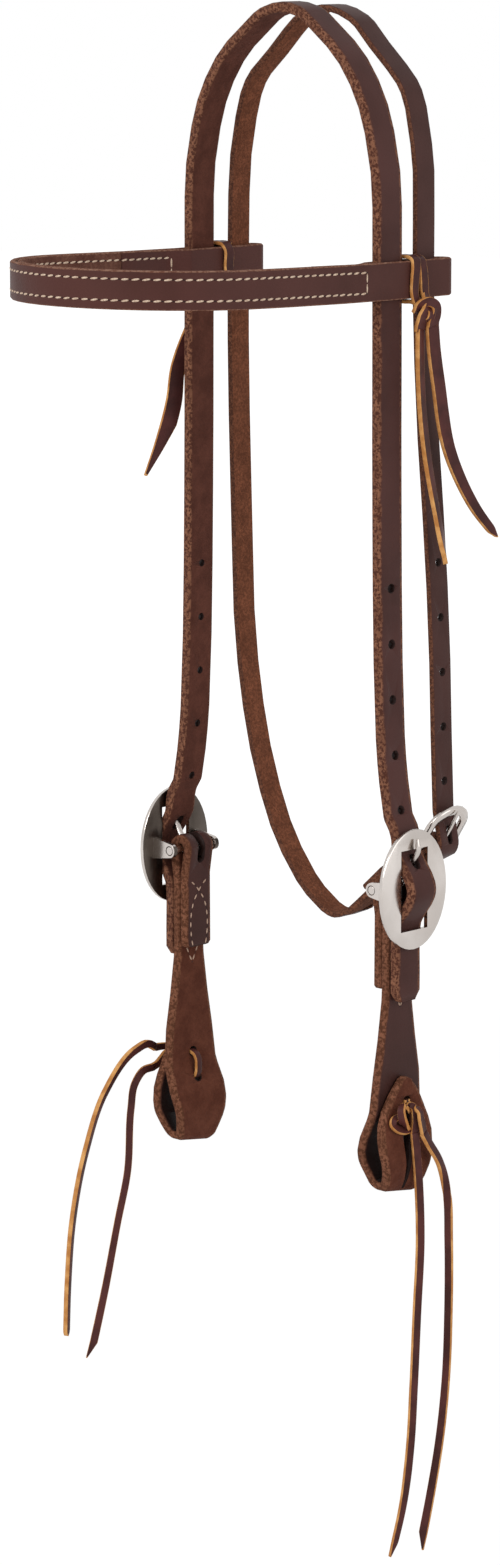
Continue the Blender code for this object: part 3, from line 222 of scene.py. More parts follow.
# %% Strand maker
LACE_SECTION = (
    # across in half widths, out in half thicknesses, and how much of a cut edge shows
    (1.00, -0.74, 1.0), (1.00, 0.70, 1.0), (0.93, 0.97, 0.62), (0.84, 1.0, 0.0), (0.0, 1.0, 0.0),
    (-0.84, 1.0, 0.0), (-0.93, 0.97, 0.62), (-1.00, 0.70, 1.0), (-1.00, -0.74, 1.0), (-0.93, -0.98, 0.8),
    (-0.84, -1.0, 0.25), (0.0, -1.0, 0.2), (0.84, -1.0, 0.25), (0.93, -0.98, 0.8),
)


def turning(line, ways):
    """The way a lace's face looks at every sample, turned evenly between a few shares of its length."""
    steps = np.concatenate([[0.0], np.cumsum(np.linalg.norm(np.diff(line, axis=0), axis=1))])
    shares, looks = [share for share, _ in ways], np.array([look for _, look in ways], float)
    return np.stack([np.interp(steps / steps[-1], shares, looks[:, k]) for k in range(3)], axis=1)


def strand(bm, line, across, width, thickness, tip=0.0, cup=0.0, facing=None, swell=((0, 1), (1, 1)), slant=0.0):
    """Adds one closed strip of lace along a line to the mesh. It may swell, or be cut to a tip, also on a slant."""
    along, wide, out = directions(line, across, facing)
    steps = np.concatenate([[0.0], np.cumsum(np.linalg.norm(np.diff(line, axis=0), axis=1))])
    edge_of = bm.verts.layers.float.get("edge") or bm.verts.layers.float.new("edge")
    ring = bmesh.ops.create_circle(bm, cap_ends=True, segments=len(LACE_SECTION), radius=1.0)["verts"]
    face = ring[0].link_faces[0]
    first_face = face
    for i in range(len(line)):
        if i:
            made = bmesh.ops.extrude_face_region(bm, geom=[face])["geom"]
            if face is not first_face:
                bmesh.ops.delete(bm, geom=[face], context="FACES_ONLY")
            face = next(g for g in made if isinstance(g, bmesh.types.BMFace))
            fresh = {g for g in made if isinstance(g, bmesh.types.BMVert)}
            ring = [next(e.other_vert(v) for e in v.link_edges if e.other_vert(v) in fresh) for v in ring]
        left = steps[-1] - steps[i]
        narrow = 1.0 if left >= tip or not tip else 0.16 + 0.84 * left / tip
        middle = line[i] + wide[i] * slant * width / 2 * (1 - narrow)
        narrow *= float(np.interp(steps[i] / steps[-1], [s for s, _ in swell], [w for _, w in swell]))
        for vert, (a, o, edge) in zip(ring, LACE_SECTION):
            lift = cup * thickness * (a * a - 0.5)
            vert.co = Vector(middle + wide[i] * a * width / 2 * narrow + out[i] * (o * thickness / 2 + lift))
            vert[edge_of] = max(edge, 0.9 if tip and left < 0.4 * thickness else 0.0)
    return bm


def finish_strands(bm):
    """Turns the strips the right way out and writes where their cut edges are."""
    bmesh.ops.recalc_face_normals(bm, faces=bm.faces)
    colour = bm.loops.layers.float_color.new("faces")
    edge_of = bm.verts.layers.float.get("edge")
    for face in bm.faces:
        for loop in face.loops:
            loop[colour] = (loop.vert[edge_of], 0.0, 0.0, 1.0)
    return bm


# %% [markdown]
# ## Free lace ends
# The free ends come first, because their routes decide how far the model spreads. Each is a limp cord that
# leaves its knot, falls under its own weight and ends in a cut tip. The routes are listed point by point.

# %% Lace ends
BROWBAND_LACE = (7.6 * MM, 2.2 * MM)
BIT_LACE = (4.2 * MM, 2.2 * MM)
LACE_ENDS = {
    "near_browband_tail_long": (
        (0.0707, 0.0173, -0.1388), (0.0706, 0.0184, -0.1480), (0.0700, 0.0222, -0.1643),
        (0.0703, 0.0303, -0.1972), (0.0712, 0.0372, -0.2110), (0.0722, 0.0445, -0.2222), (0.0740, 0.0584, -0.2378),
    ),
    "near_browband_tail_short": (
        (0.0688, 0.0114, -0.1398), (0.0688, 0.0113, -0.1500), (0.0686, 0.0130, -0.1753),
        (0.0689, 0.0165, -0.1988), (0.0700, 0.0230, -0.2285), (0.0705, 0.0275, -0.2475),
    ),
    "far_browband_tail_long": (
        (-0.0690, 0.0108, -0.1408), (-0.0692, 0.0070, -0.1450), (-0.0694, 0.0025, -0.1524),
        (-0.0697, -0.0035, -0.1660), (-0.0702, -0.0055, -0.1810), (-0.0708, -0.0120, -0.2000),
        (-0.0715, -0.0190, -0.2163),
    ),
    "far_browband_tail_short": (
        (-0.0707, 0.0175, -0.1388), (-0.0708, 0.0183, -0.1500), (-0.0710, 0.0180, -0.1700),
        (-0.0714, 0.0170, -0.1860), (-0.0716, 0.0165, -0.2010),
    ),
    "near_bit_tail_front": (
        (0.0775, 0.0008, -0.5060), (0.0776, 0.0020, -0.5150), (0.0774, 0.0036, -0.5272),
        (0.0773, 0.0053, -0.5566), (0.0772, 0.0034, -0.5922), (0.0770, 0.0016, -0.6277),
        (0.0768, -0.0002, -0.6544), (0.0765, -0.0045, -0.6812), (0.0760, -0.0119, -0.7053),
    ),
    "near_bit_tail_rear": (
        (0.0804, 0.0036, -0.5062), (0.0806, 0.0070, -0.5115), (0.0808, 0.0139, -0.5212),
        (0.0804, 0.0204, -0.5400), (0.0800, 0.0219, -0.5596), (0.0795, 0.0226, -0.5955),
        (0.0790, 0.0216, -0.6278), (0.0786, 0.0182, -0.6547), (0.0780, 0.0125, -0.6815), (0.0772, 0.0064, -0.7059),
    ),
    "far_bit_tail_front": (
        (-0.0791, -0.0101, -0.4909), (-0.0795, -0.0145, -0.4885), (-0.0798, -0.0230, -0.4902),
        (-0.0805, -0.0424, -0.5075), (-0.0815, -0.0541, -0.5335), (-0.0825, -0.0620, -0.5660),
        (-0.0835, -0.0644, -0.5962), (-0.0840, -0.0652, -0.6221),
    ),
    "far_bit_tail_rear": (
        (-0.0802, -0.0107, -0.5006), (-0.0803, -0.0170, -0.5012), (-0.0803, -0.0230, -0.5070),
        (-0.0802, -0.0255, -0.5180), (-0.0800, -0.0283, -0.5490), (-0.0800, -0.0349, -0.5720),
        (-0.0800, -0.0431, -0.6020), (-0.0800, -0.0535, -0.6350),
    ),
}
LACE_TURNS = {
    # shares of the length, and the way the dyed face looks there
    "near_browband_tail_long": ((0, (0.97, -0.09, 0)), (1, (0.97, -0.09, 0))),
    "near_browband_tail_short": ((0, (0.95, 0.26, 0)), (0.8, (0.95, 0.26, 0)), (1, (0.66, 0.76, 0))),
    "far_browband_tail_long": ((0, (0.87, -0.50, 0)), (1, (0.87, -0.50, 0))),
    "far_browband_tail_short": ((0, (0.93, 0.38, 0)), (1, (0.93, 0.38, 0))),
    "near_bit_tail_front": ((0, (0.91, -0.37, 0)), (1, (0.91, -0.37, 0))),
    "near_bit_tail_rear": ((0, (0.95, 0.23, 0)), (0.10, (0.95, 0.23, 0)), (0.22, (0.25, -0.97, 0)), (1, (0.45, -0.89, 0))),
    "far_bit_tail_front": ((0, (0.93, 0.38, 0)), (1, (0.93, 0.38, 0))),
    "far_bit_tail_rear": ((0, (0.71, -0.71, 0)), (1, (0.71, -0.71, 0))),
}
LACE_CUTS = {
    # the length of the cut tip in mm, the edge it runs out to, and the widths along the lace
    "near_browband_tail_long": (5, 0.0, ((0, 0.92), (0.4, 0.95), (0.8, 0.7), (1, 0.5))),
    "near_browband_tail_short": (7, 0.0, ((0, 0.7), (0.5, 0.66), (0.8, 0.5), (0.93, 0.85), (1, 0.8))),
    "far_browband_tail_long": (27, -1.0, ((0, 0.7), (0.55, 1.0), (1, 1.0))),
    "far_browband_tail_short": (30, -0.6, ((0, 0.9), (1, 0.8))),
    "near_bit_tail_front": (7, -0.5, ((0, 0.92), (0.8, 0.86), (1, 0.62))),
    "near_bit_tail_rear": (8, 0.8, ((0, 0.9), (0.6, 0.86), (1, 0.95))),
    "far_bit_tail_front": (2, 0.0, ((0, 0.88), (1, 0.84))),
    "far_bit_tail_rear": (8, -1.0, ((0, 0.84), (0.6, 0.8), (1, 0.9))),
}
for name, points in LACE_ENDS.items():
    at_browband = "browband" in name
    width, thickness = BROWBAND_LACE if at_browband else BIT_LACE
    body = "browband" if at_browband else name.split("_")[0] + "_bit"
    line = smooth_line(points, 1.6 * MM)
    tip, slant, swell = LACE_CUTS[name]
    looks = turning(line, LACE_TURNS[name])
    bm = strand(bmesh.new(), line, None, width, thickness, tip * MM, facing=looks, swell=swell, slant=slant)
    piece = link_piece(name + "_lace", finish_strands(bm), latigo, body, (name,))

# %% [markdown]
# ## Bridle leather
# A strap has three surfaces. The grain side is smooth, dark and oiled. The flesh side is rough and warmer. The
# cut edge shows the fibres as a speckled brown nap. One material holds all three, and an attribute on each face
# corner says which one shows: red for the cut edge and green for the flesh side. Blue paints shade into the
# holes and inside the bit end's loop.

# %% Leather materials
def strap_leather(name, grain, nap, flesh, pile=0.5, speck=0.8 * MM):
    """Oiled strap leather. Each surface has a dark and a light colour, and pile is how fibrous the flesh looks."""
    made, tree, shader = new_material(name)
    place = add(tree, "ShaderNodeTexCoord").outputs["Object"]
    faces = add(tree, "ShaderNodeVertexColor", layer_name="faces").outputs["Color"]
    split = add(tree, "ShaderNodeSeparateColor", links={"Color": faces})
    broad = mapped_range(tree, noise(tree, place, 38 * MM, 3.0), 0.36, 0.64)
    mottle = mapped_range(tree, noise(tree, place, 4.5 * MM, 5.0, 0.62), 0.32, 0.68)
    fibres = mapped_range(tree, noise(tree, place, speck, 3.0, 0.7), 0.36, 0.64)
    face = mix_colour(tree, broad, linear(grain[0]), linear(grain[1]))
    face = mix_colour(tree, mapped_range(tree, mottle, 0, 1, 0.0, 0.30, "LINEAR"), face, linear(grain[1]))
    edge = mix_colour(tree, mapped_range(tree, fibres, 0.2, 0.8), linear(nap[0]), linear(nap[1]))
    edge = mix_colour(tree, mapped_range(tree, mottle, 0, 1, 0.0, 0.5, "LINEAR"), edge, linear(nap[0]))
    back = mix_colour(tree, mottle, linear(flesh[0]), linear(flesh[1]))
    back = mix_colour(
        tree, mapped_range(tree, fibres, 0, 1, 0.0, pile, "LINEAR"), back, mix_colour(tree, 0.5, back, linear(flesh[1]))
    )
    back = mix_colour(tree, mapped_range(tree, fibres, 1, 0, 0.0, pile, "LINEAR"), back, linear(flesh[0]))
    ragged = add(tree, "ShaderNodeMath", {1: 0.5}, {0: mottle}, operation="SUBTRACT").outputs[0]
    cut = add(
        tree, "ShaderNodeMath", {1: 0.30}, {0: ragged, 2: split.outputs["Red"]}, operation="MULTIPLY_ADD"
    ).outputs[0]
    cut = mapped_range(tree, cut, 0.30, 0.70)
    # blue is painted shade: hole walls and the inside of the bit end's loop go nearly black
    painted_shade = add(tree, "ShaderNodeMath", {1: 0.8}, {0: split.outputs["Blue"]}, operation="MULTIPLY").outputs[0]
    face = mix_colour(tree, painted_shade, face, linear("#1b100d"))
    colour = mix_colour(tree, split.outputs["Green"], face, back)
    colour = mix_colour(tree, cut, colour, edge)
    tree.links.new(colour, shader.inputs["Base Color"])
    rough = add(tree, "ShaderNodeMath", links={0: cut, 1: split.outputs["Green"]}, operation="MAXIMUM").outputs[0]
    tree.links.new(mapped_range(tree, rough, 0, 1, 0.52, 0.9, "LINEAR"), shader.inputs["Roughness"])
    shader.inputs["Specular IOR Level"].default_value = 0.13
    pores = add(tree, "ShaderNodeTexVoronoi", {"Scale": 0.9 / MM}, {"Vector": place}, feature="F1").outputs["Distance"]
    pores = mapped_range(tree, pores, 0.0, 0.6, 0.0, 0.22, "LINEAR")
    height = add(tree, "ShaderNodeMath", links={0: fibres, 1: rough}, operation="MULTIPLY").outputs[0]
    height = add(tree, "ShaderNodeMath", links={0: height, 1: pores}, operation="ADD").outputs[0]
    bump = add(tree, "ShaderNodeBump", {"Strength": 0.45, "Distance": 0.22 * MM}, {"Height": height})
    tree.links.new(bump.outputs["Normal"], shader.inputs["Normal"])
    return made


strap = strap_leather(
    "bridle_leather_oiled", ("#3c221e", "#4d2f2b"), ("#4e2d23", "#8d6049"), ("#4e2c23", "#623a2f"), 0.25
)
throat_strap = strap_leather(
    "bridle_leather_oiled_throat", ("#3c2420", "#4b302c"), ("#4f3126", "#7a4f3b"), ("#5b3524", "#87523a"), 0.8, 0.6 * MM
)
band_strap = strap_leather(
    "bridle_leather_oiled_brow", ("#422520", "#502f2a"), ("#6a4436", "#94705e"), ("#54332a", "#714d40"), 0.5
)
bit_strap = strap_leather(
    "bridle_leather_oiled_bit", ("#3a221e", "#482c28"), ("#553323", "#845641"), ("#4f291d", "#653a2b"), 0.35
)
print("strap leather nodes:", len(strap.node_tree.nodes))

# %% [markdown]
# ## Dressing a strap
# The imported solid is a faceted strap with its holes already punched. A copy of it is merged, so that its faces
# share their points. Then the grain side and the flesh side are found by spreading from one known face to its
# neighbours, and stopping at the sharp corner. Whatever neither side reaches is a cut edge.

# %% Strap dresser
SPREAD_LIMIT = math.cos(math.radians(33))


def merged_copy(node):
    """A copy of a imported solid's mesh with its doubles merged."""
    bm = bmesh.new()
    bm.from_mesh(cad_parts[node].data)
    bmesh.ops.remove_doubles(bm, verts=bm.verts, dist=0.002 * MM)
    bm.normal_update()
    return bm


def spread(bm, seed, way):
    """The faces reached without turning a sharp corner, from the one nearest to a place that faces this way."""
    facing = [f for f in bm.faces if f.normal.dot(Vector(way)) > 0.8]
    start = min(facing, key=lambda f: (f.calc_center_median() - Vector(seed)).length)
    reached, waiting = {start}, [start]
    while waiting:
        face = waiting.pop()
        for edge in face.edges:
            for other in edge.link_faces:
                if other not in reached and face.normal.dot(other.normal) > SPREAD_LIMIT:
                    reached.add(other)
                    waiting.append(other)
    return reached


def mark_sides(bm, grain, flesh, rim, painted_shade_from=None):
    """Writes on each face corner whether grain, flesh or a cut edge shows there, and the painted shade in holes and low
    on the grain.
    """
    colour = bm.loops.layers.float_color.new("faces")
    holes = set(bm.faces) - grain - flesh - rim
    on_grain = {v for f in grain for v in f.verts}
    on_flesh = {v for f in flesh for v in f.verts}
    for face in bm.faces:
        for loop in face.loops:
            if face in grain:
                # painted shade: the grain darkens from this height down, inside the bit end's loop
                painted_loop_shade = 0 if painted_shade_from is None else min(1, max(0, (painted_shade_from - loop.vert.co.z) / (9 * MM)))
                loop[colour] = (0, 0, painted_loop_shade, 1)
            elif face in flesh:
                loop[colour] = (0, 1, 0, 1)
            elif face in holes:
                # hole walls: full painted shade
                loop[colour] = (0, 0, 1, 1)
            elif any(v in on_grain for v in face.verts) and loop.vert in on_grain:
                loop[colour] = (0.28, 0, 0, 1)
            elif loop.vert in on_flesh:
                loop[colour] = (0.5, 1, 0, 1)
            else:
                loop[colour] = (1, 0.5, 0, 1)


def cut_patches(bm, grain, flesh):
    """The cut faces in patches that hang together, the largest first: the strap's rim, and then its holes."""
    left = set(bm.faces) - grain - flesh
    patches = []
    while left:
        waiting = [left.pop()]
        patch = set(waiting)
        while waiting:
            for edge in waiting.pop().edges:
                for other in edge.link_faces:
                    if other in left:
                        left.remove(other)
                        patch.add(other)
                        waiting.append(other)
        patches.append(patch)
    return sorted(patches, key=len, reverse=True)


def wear_corners(grain, flesh, rim, inward):
    """Rounds the long corners more: the points where each broad side ends move in by so many metres."""
    rim_points = {v for f in rim for v in f.verts}
    for side, amount in zip((grain, flesh), inward):
        for vert in {v for f in side for v in f.verts} & rim_points:
            if abs(vert.co.y) > 5 * MM:
                vert.co.y -= math.copysign(amount, vert.co.y)


def dish_holes(grain, patches, wider=1.28):
    """Presses the mouth of each small hole wider on the grain side, as a punch does."""
    on_grain = {v for f in grain for v in f.verts}
    for patch in patches:
        mouth = [v for v in {v for f in patch for v in f.verts} if v in on_grain]
        if mouth:
            centre = sum((v.co for v in mouth), Vector()) / len(mouth)
            if max((v.co - centre).length for v in mouth) < 3 * MM:
                for vert in mouth:
                    vert.co = centre + (vert.co - centre) * wider


def soften(piece, angle=50):
    """Smooth shading that keeps the broad faces flat."""
    piece.data.set_sharp_from_angle(angle=math.radians(angle))
    weighted = piece.modifiers.new("even shading", "WEIGHTED_NORMAL")
    weighted.keep_sharp = True
    weighted.weight = 80


def ease_loop(bm):
    """The loop as the leather takes it: the slit gapes, the lower corners are round and the lower edge is level."""
    for vert in bm.verts:
        x, y, z = abs(vert.co.x) / MM, vert.co.y / MM, vert.co.z / MM
        if x > 66 and -2.75 < y < -0.3 and z < -497:
            vert.co.y -= 1.7 * MM * min(1, (-497 - z) / 8) * (1 - 0.6 * min(1, max(0, (-514 - z) / 20)))
        low = min(1, max(0, (-512 - z) / 20))
        vert.co.z -= 1.4 * MM * low * low * (3 - 2 * low) * y / 11.5
        corner = min(1, max(0, (-520 - z) / 15))
        vert.co.y *= 1 - 0.15 * corner * corner


def dress_strap(node, body, middle, way, material=strap, worn=None, loop=False):
    """The strap's copy. Its grain side is found from a place in its middle and the way the grain faces there."""
    bm = merged_copy(node)
    grain, flesh = spread(bm, middle, way), spread(bm, middle, -Vector(way))
    rim, *holes = cut_patches(bm, grain, flesh)
    dish_holes(grain, holes)
    if worn:
        wear_corners(grain, flesh, rim, worn)
    if loop:
        ease_loop(bm)
    # shade is painted inside the loop, below 490 mm
    mark_sides(bm, grain, flesh, rim, -490 * MM if loop else None)
    print(node, "grain faces", len(grain), "flesh faces", len(flesh), "all", len(bm.faces))
    piece = link_piece(node + "_leather", bm, material, body, (node,))
    soften(piece, 80 if worn else 50)
    return piece


dress_strap("crown_strap", "crown", (0, 0, 0.0024), (0, 0, 1), worn=(1.7 * MM, 0.5 * MM))
dress_strap("throatlatch_strap", "crown", (0, 0.027, 0.0015), (0, 0, 1), throat_strap)
dress_strap("browband_outer", "browband", (0, -0.1500, -0.115), (0, -1, 0), band_strap)
dress_strap("browband_lining", "browband", (0, -0.1472, -0.115), (0, -1, 0), band_strap)
for side, sign in (("near", 1), ("far", -1)):
    dress_strap(
        side + "_bit_end", side + "_bit", (sign * 0.0667, 0, -0.46), (sign, 0, 0), bit_strap,
        worn=(1.2 * MM, 1.2 * MM), loop=True,
    )

# %% [markdown]
# ## Thread
# The browband's two layers are sewn with waxed thread, four or five stitches to the inch, and each bit end is sewn
# in a long crossed figure. A saddler's stitch is a short strand that dives into an awl hole at both ends, so it
# looks like a grain of rice. A stretched sphere has that form with few faces. Rays find the leather's surface.

# %% Thread material
thread, tree, shader = new_material("linen_thread_waxed")
place = add(tree, "ShaderNodeTexCoord").outputs["Object"]
faces = add(tree, "ShaderNodeVertexColor", layer_name="faces").outputs["Color"]
split = add(tree, "ShaderNodeSeparateColor", links={"Color": faces})
fibre = noise(tree, place, 0.35 * MM, 3.0, 0.6)
cream = mix_colour(tree, mapped_range(tree, fibre, 0.35, 0.65), linear("#b59a84"), linear("#dcc6b0"))
cream = mix_colour(tree, split.outputs["Green"], cream, linear("#b08c7a"))
# red turns the thread nearly black: painted shade of the awl holes
tree.links.new(mix_colour(tree, split.outputs["Red"], cream, linear("#22120e")), shader.inputs["Base Color"])
shader.inputs["Roughness"].default_value = 0.7
shader.inputs["Specular IOR Level"].default_value = 0.25
bump = add(tree, "ShaderNodeBump", {"Strength": 0.4, "Distance": 0.12 * MM}, {"Height": fibre})
tree.links.new(bump.outputs["Normal"], shader.inputs["Normal"])


# %% Stitch maker
def stitch(bm, place, along, out, length, width, rise, shade=(0.0, 0.0)):
    """One stitch, half sunk in the leather. The shade says how much painted shade it carries as a dark awl hole, and
    how pink it is.
    """
    dark = bm.verts.layers.float.get("edge") or bm.verts.layers.float.new("edge")
    pink = bm.verts.layers.float.get("pink") or bm.verts.layers.float.new("pink")
    along, out = Vector(along).normalized(), Vector(out)
    out = (out - along * out.dot(along)).normalized()
    turn = Matrix((along.cross(out), out, along)).transposed().to_4x4()
    scale = Matrix.Diagonal((width, rise, length, 1.0))
    made = bmesh.ops.create_uvsphere(
        bm, u_segments=6, v_segments=6, radius=0.5, matrix=Matrix.Translation(place) @ turn @ scale
    )["verts"]
    for vert in made:
        vert[dark], vert[pink] = shade


def finish_stitches(bm):
    bmesh.ops.recalc_face_normals(bm, faces=bm.faces)
    colour = bm.loops.layers.float_color.new("faces")
    dark, pink = bm.verts.layers.float.get("edge"), bm.verts.layers.float.get("pink")
    for face in bm.faces:
        for loop in face.loops:
            loop[colour] = (loop.vert[dark], loop.vert[pink], 0.0, 1.0)
    return bm


def surface_of(*nodes):
    """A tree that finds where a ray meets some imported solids."""
    everything = bmesh.new()
    for node in nodes:
        everything.from_mesh(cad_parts[node].data)
    found = BVHTree.FromBMesh(everything)
    everything.free()
    return found


steady = random.Random(7)


def sew(bm, surface, places, look, length, width, lean=0.0, pink=0.0, hole=True):
    """Stitches from place to place of a line, each laid on the surface that a ray along look meets."""
    for before, after in zip(places[:-1], places[1:]):
        middle = (Vector(before) + Vector(after)) / 2
        looking = Vector(look(middle)) if callable(look) else Vector(look)
        hit, normal, _, _ = surface.ray_cast(middle - looking * 0.012, looking, 0.03)
        if hit is None:
            continue
        along = (Vector(after) - Vector(before)).normalized()
        along = along + Vector((0, 0, 1)) * math.tan(lean + steady.uniform(-0.04, 0.04))
        long = length * steady.uniform(0.94, 1.06)
        stitch(bm, hit - normal * 0.06 * MM, along, normal, long, width, width * 0.75, (0.0, pink))
        # a dark lens in the awl hole after each stitch is painted shade
        if hole:
            way = (Vector(after) - middle).normalized()
            gap = middle + way * ((Vector(after) - Vector(before)).length / 2) - looking * 0.012
            hit, normal, _, _ = surface.ray_cast(gap, looking, 0.03)
            if hit is not None:
                stitch(bm, hit, way, normal, width * 1.1, width * 0.62, 0.16 * MM, (1.0, 0.0))


print("thread pitch 4.6 mm, about", round(25.4 / 4.6, 1), "stitches to the inch")

# %% Browband stitches
BAND_RADIUS, BAND_FRONT, STITCH_END, PITCH = 63.1 * MM, -87.0 * MM, -19.0 * MM, 4.6 * MM


def band_place(s, offset):
    """The place s metres along the band from its near stitched end, and the way out of the band there."""
    straight = STITCH_END - BAND_FRONT
    bend = math.pi * BAND_RADIUS
    if s < straight:
        x, y, out = BAND_RADIUS, STITCH_END - s, Vector((1, 0, 0))
    elif s < straight + bend:
        turn = (s - straight) / BAND_RADIUS
        out = Vector((math.cos(turn), -math.sin(turn), 0))
        x, y = BAND_RADIUS * out.x, BAND_FRONT + BAND_RADIUS * out.y
    else:
        x, y, out = -BAND_RADIUS, BAND_FRONT + (s - straight - bend), Vector((-1, 0, 0))
    rise = 3.0 * MM * min(1.0, max(0.0, -(y - STITCH_END) / (132.5 * MM)))
    return Vector((x, y, -118 * MM + rise + offset)), out


band_surface = surface_of("browband_outer", "browband_lining")
band_length = 2 * (STITCH_END - BAND_FRONT) + math.pi * BAND_RADIUS
count = round(band_length / PITCH)
sewing = bmesh.new()
for inward in (1, -1):
    for offset in (4.85 * MM, -4.4 * MM):
        for i in range(count):
            first, out = band_place(band_length * (count - i) / count, offset)
            second, _ = band_place(band_length * (count - i - 1) / count, offset)
            sew(sewing, band_surface, [first, second], -out * inward, 3.5 * MM, 1.05 * MM, 0.14 * inward)
    for s in (0, band_length):
        low, out = band_place(s, -4.5 * MM)
        high, _ = band_place(s, 4.9 * MM)
        sew(sewing, band_surface, [low, (low + high) / 2, high], -out * inward, 4.4 * MM, 0.9 * MM, hole=False)
piece = link_piece("browband_stitches", finish_stitches(sewing), thread, "browband", ())
print("browband stitches:", len(piece.data.polygons) // 36)

# %% Bit end stitches
FIGURE = ((-5.5, -408.0), (0.0, -413.0), (4.3, -420.0), (5.6, -430.0), (4.4, -439.0), (0.0, -448.5))
for side, sign in (("near", 1), ("far", -1)):
    surface = surface_of(side + "_bit_end")
    sewing = bmesh.new()
    for hand in (1, -1):
        line = smooth_line([(sign * 0.060, hand * y * MM, z * MM) for y, z in FIGURE], 0.2 * MM)
        steps = np.concatenate([[0.0], np.cumsum(np.linalg.norm(np.diff(line, axis=0), axis=1))])
        stops = np.linspace(0, steps[-1], round(steps[-1] / (4.4 * MM)) + 1)
        places = [Vector([float(np.interp(s, steps, line[:, k])) for k in range(3)]) for s in stops]
        sew(sewing, surface, places, (sign, 0, 0), 2.7 * MM, 0.85 * MM, pink=0.6)
        low = [Vector((sign * 0.070, p.y, p.z)) for p in places[-2:]]
        low[0] = low[1] + (low[0] - low[1]) * 0.62
        sew(sewing, surface, low, (-sign, 0, 0), 1.9 * MM, 0.85 * MM, pink=0.6)
    link_piece(side + "_bit_stitches", finish_stitches(sewing), thread, side + "_bit", ())
    print(side, "bit end sewn")

# %% Throatlatch fold stitches
FOLD_WAY, FOLD_INNER = Vector((-0.7694, 0, -0.6388)), Vector((-0.6388, 0, 0.7694))
HEEL_BAR = Vector((59.0, 36.0, -378.3)) * MM
surface = surface_of("throatlatch_strap")
sewing = bmesh.new()
for across in (-3.4 * MM, 3.4 * MM):
    places = [HEEL_BAR + FOLD_WAY * d * MM + FOLD_INNER * 6 * MM + Vector((0, across, 0)) for d in (22, 26.5, 31, 35.5)]
    sew(sewing, surface, places, -FOLD_INNER, 2.8 * MM, 0.9 * MM, pink=0.6)
link_piece("throatlatch_stitches", finish_stitches(sewing), thread, "crown", ())

# %% [markdown]
# ## Stainless hardware
# The buckles are cast or punched from stainless steel and polished. Stainless is a slightly warm grey metal.
# Polishing leaves fine scratches that are too small to see and only spread the highlight a little, with faint
# cloudy patches where hands have been.

# %% Stainless material
stainless, tree, shader = new_material("stainless_steel_polished")
place = add(tree, "ShaderNodeTexCoord").outputs["Object"]
faces = add(tree, "ShaderNodeVertexColor", layer_name="faces").outputs["Color"]
split = add(tree, "ShaderNodeSeparateColor", links={"Color": faces})
cloud = noise(tree, place, 12 * MM, 3.0)
shade = mix_colour(tree, mapped_range(tree, cloud, 0.3, 0.7), linear("#bdb5af"), linear("#cbc4bf"))
# painted dark reflection for faces turned to the back, which are also rougher
painted_dark_reflection = mix_colour(tree, mapped_range(tree, cloud, 0.3, 0.7), linear("#4c443e"), linear("#645b54"))
tree.links.new(mix_colour(tree, split.outputs["Red"], shade, painted_dark_reflection), shader.inputs["Base Color"])
polish = mapped_range(tree, cloud, 0.3, 0.7, 0.16, 0.26, "LINEAR")
dull = add(tree, "ShaderNodeMath", {1: 0.12}, {0: split.outputs["Red"], 2: polish}, operation="MULTIPLY_ADD")
tree.links.new(dull.outputs[0], shader.inputs["Roughness"])
shader.inputs["Metallic"].default_value = 1.0
scratches = noise(tree, place, 0.5 * MM, 2.0)
bump = add(tree, "ShaderNodeBump", {"Strength": 0.05, "Distance": 0.05 * MM}, {"Height": scratches})
tree.links.new(bump.outputs["Normal"], shader.inputs["Normal"])


def dress_metal(node, body, edge=0.25 * MM, angle=40, back=None):
    """The solid's merged copy with its corners rounded. Faces turned to the back are rougher, and darker as a painted
    dark reflection.
    """
    bm = merged_copy(node)
    bmesh.ops.dissolve_limit(bm, angle_limit=math.radians(1.0), verts=bm.verts, edges=bm.edges)
    if back:
        # faces turned to the back get a rougher finish and a painted dark reflection
        colour = bm.loops.layers.float_color.new("faces")
        for face in bm.faces:
            dull = 1.0 if face.normal.dot(Vector(back)) > 0.7 else 0.0
            for loop in face.loops:
                loop[colour] = (dull, 0.0, 0.0, 1.0)
    piece = link_piece(node + "_polished", bm, stainless, body, (node,))
    rounding = piece.modifiers.new("polished corners", "BEVEL")
    rounding.width = edge
    rounding.segments = 3
    rounding.limit_method = "ANGLE"
    rounding.angle_limit = math.radians(angle)
    rounding.use_clamp_overlap = True
    rounding.loop_slide = True
    rounding.harden_normals = True
    piece.data.set_sharp_from_angle(angle=math.radians(60))
    print(piece.name, "faces", len(piece.data.polygons))
    return piece


for side in ("near", "far"):
    dress_metal(side + "_cheek_buckle_plate", "crown", back=(-1 if side == "near" else 1, 0, 0))
    dress_metal(side + "_cheek_buckle_bar", "crown")
    dress_metal(side + "_cheek_buckle_tongue", side + "_tongue", 0.2 * MM, 50)
dress_metal("throatlatch_buckle_frame", "crown", 0.2 * MM, 50)
dress_metal("throatlatch_buckle_tongue", "throat_tongue", 0.2 * MM, 50)

# %% [markdown]
# ## Knots
# Each tie is one lace, passed round what it holds and then over and under itself. Every pass is a strand of its
# own here, so each shows its dyed face and its tan edges, and the ends of a strand are hidden under the next.

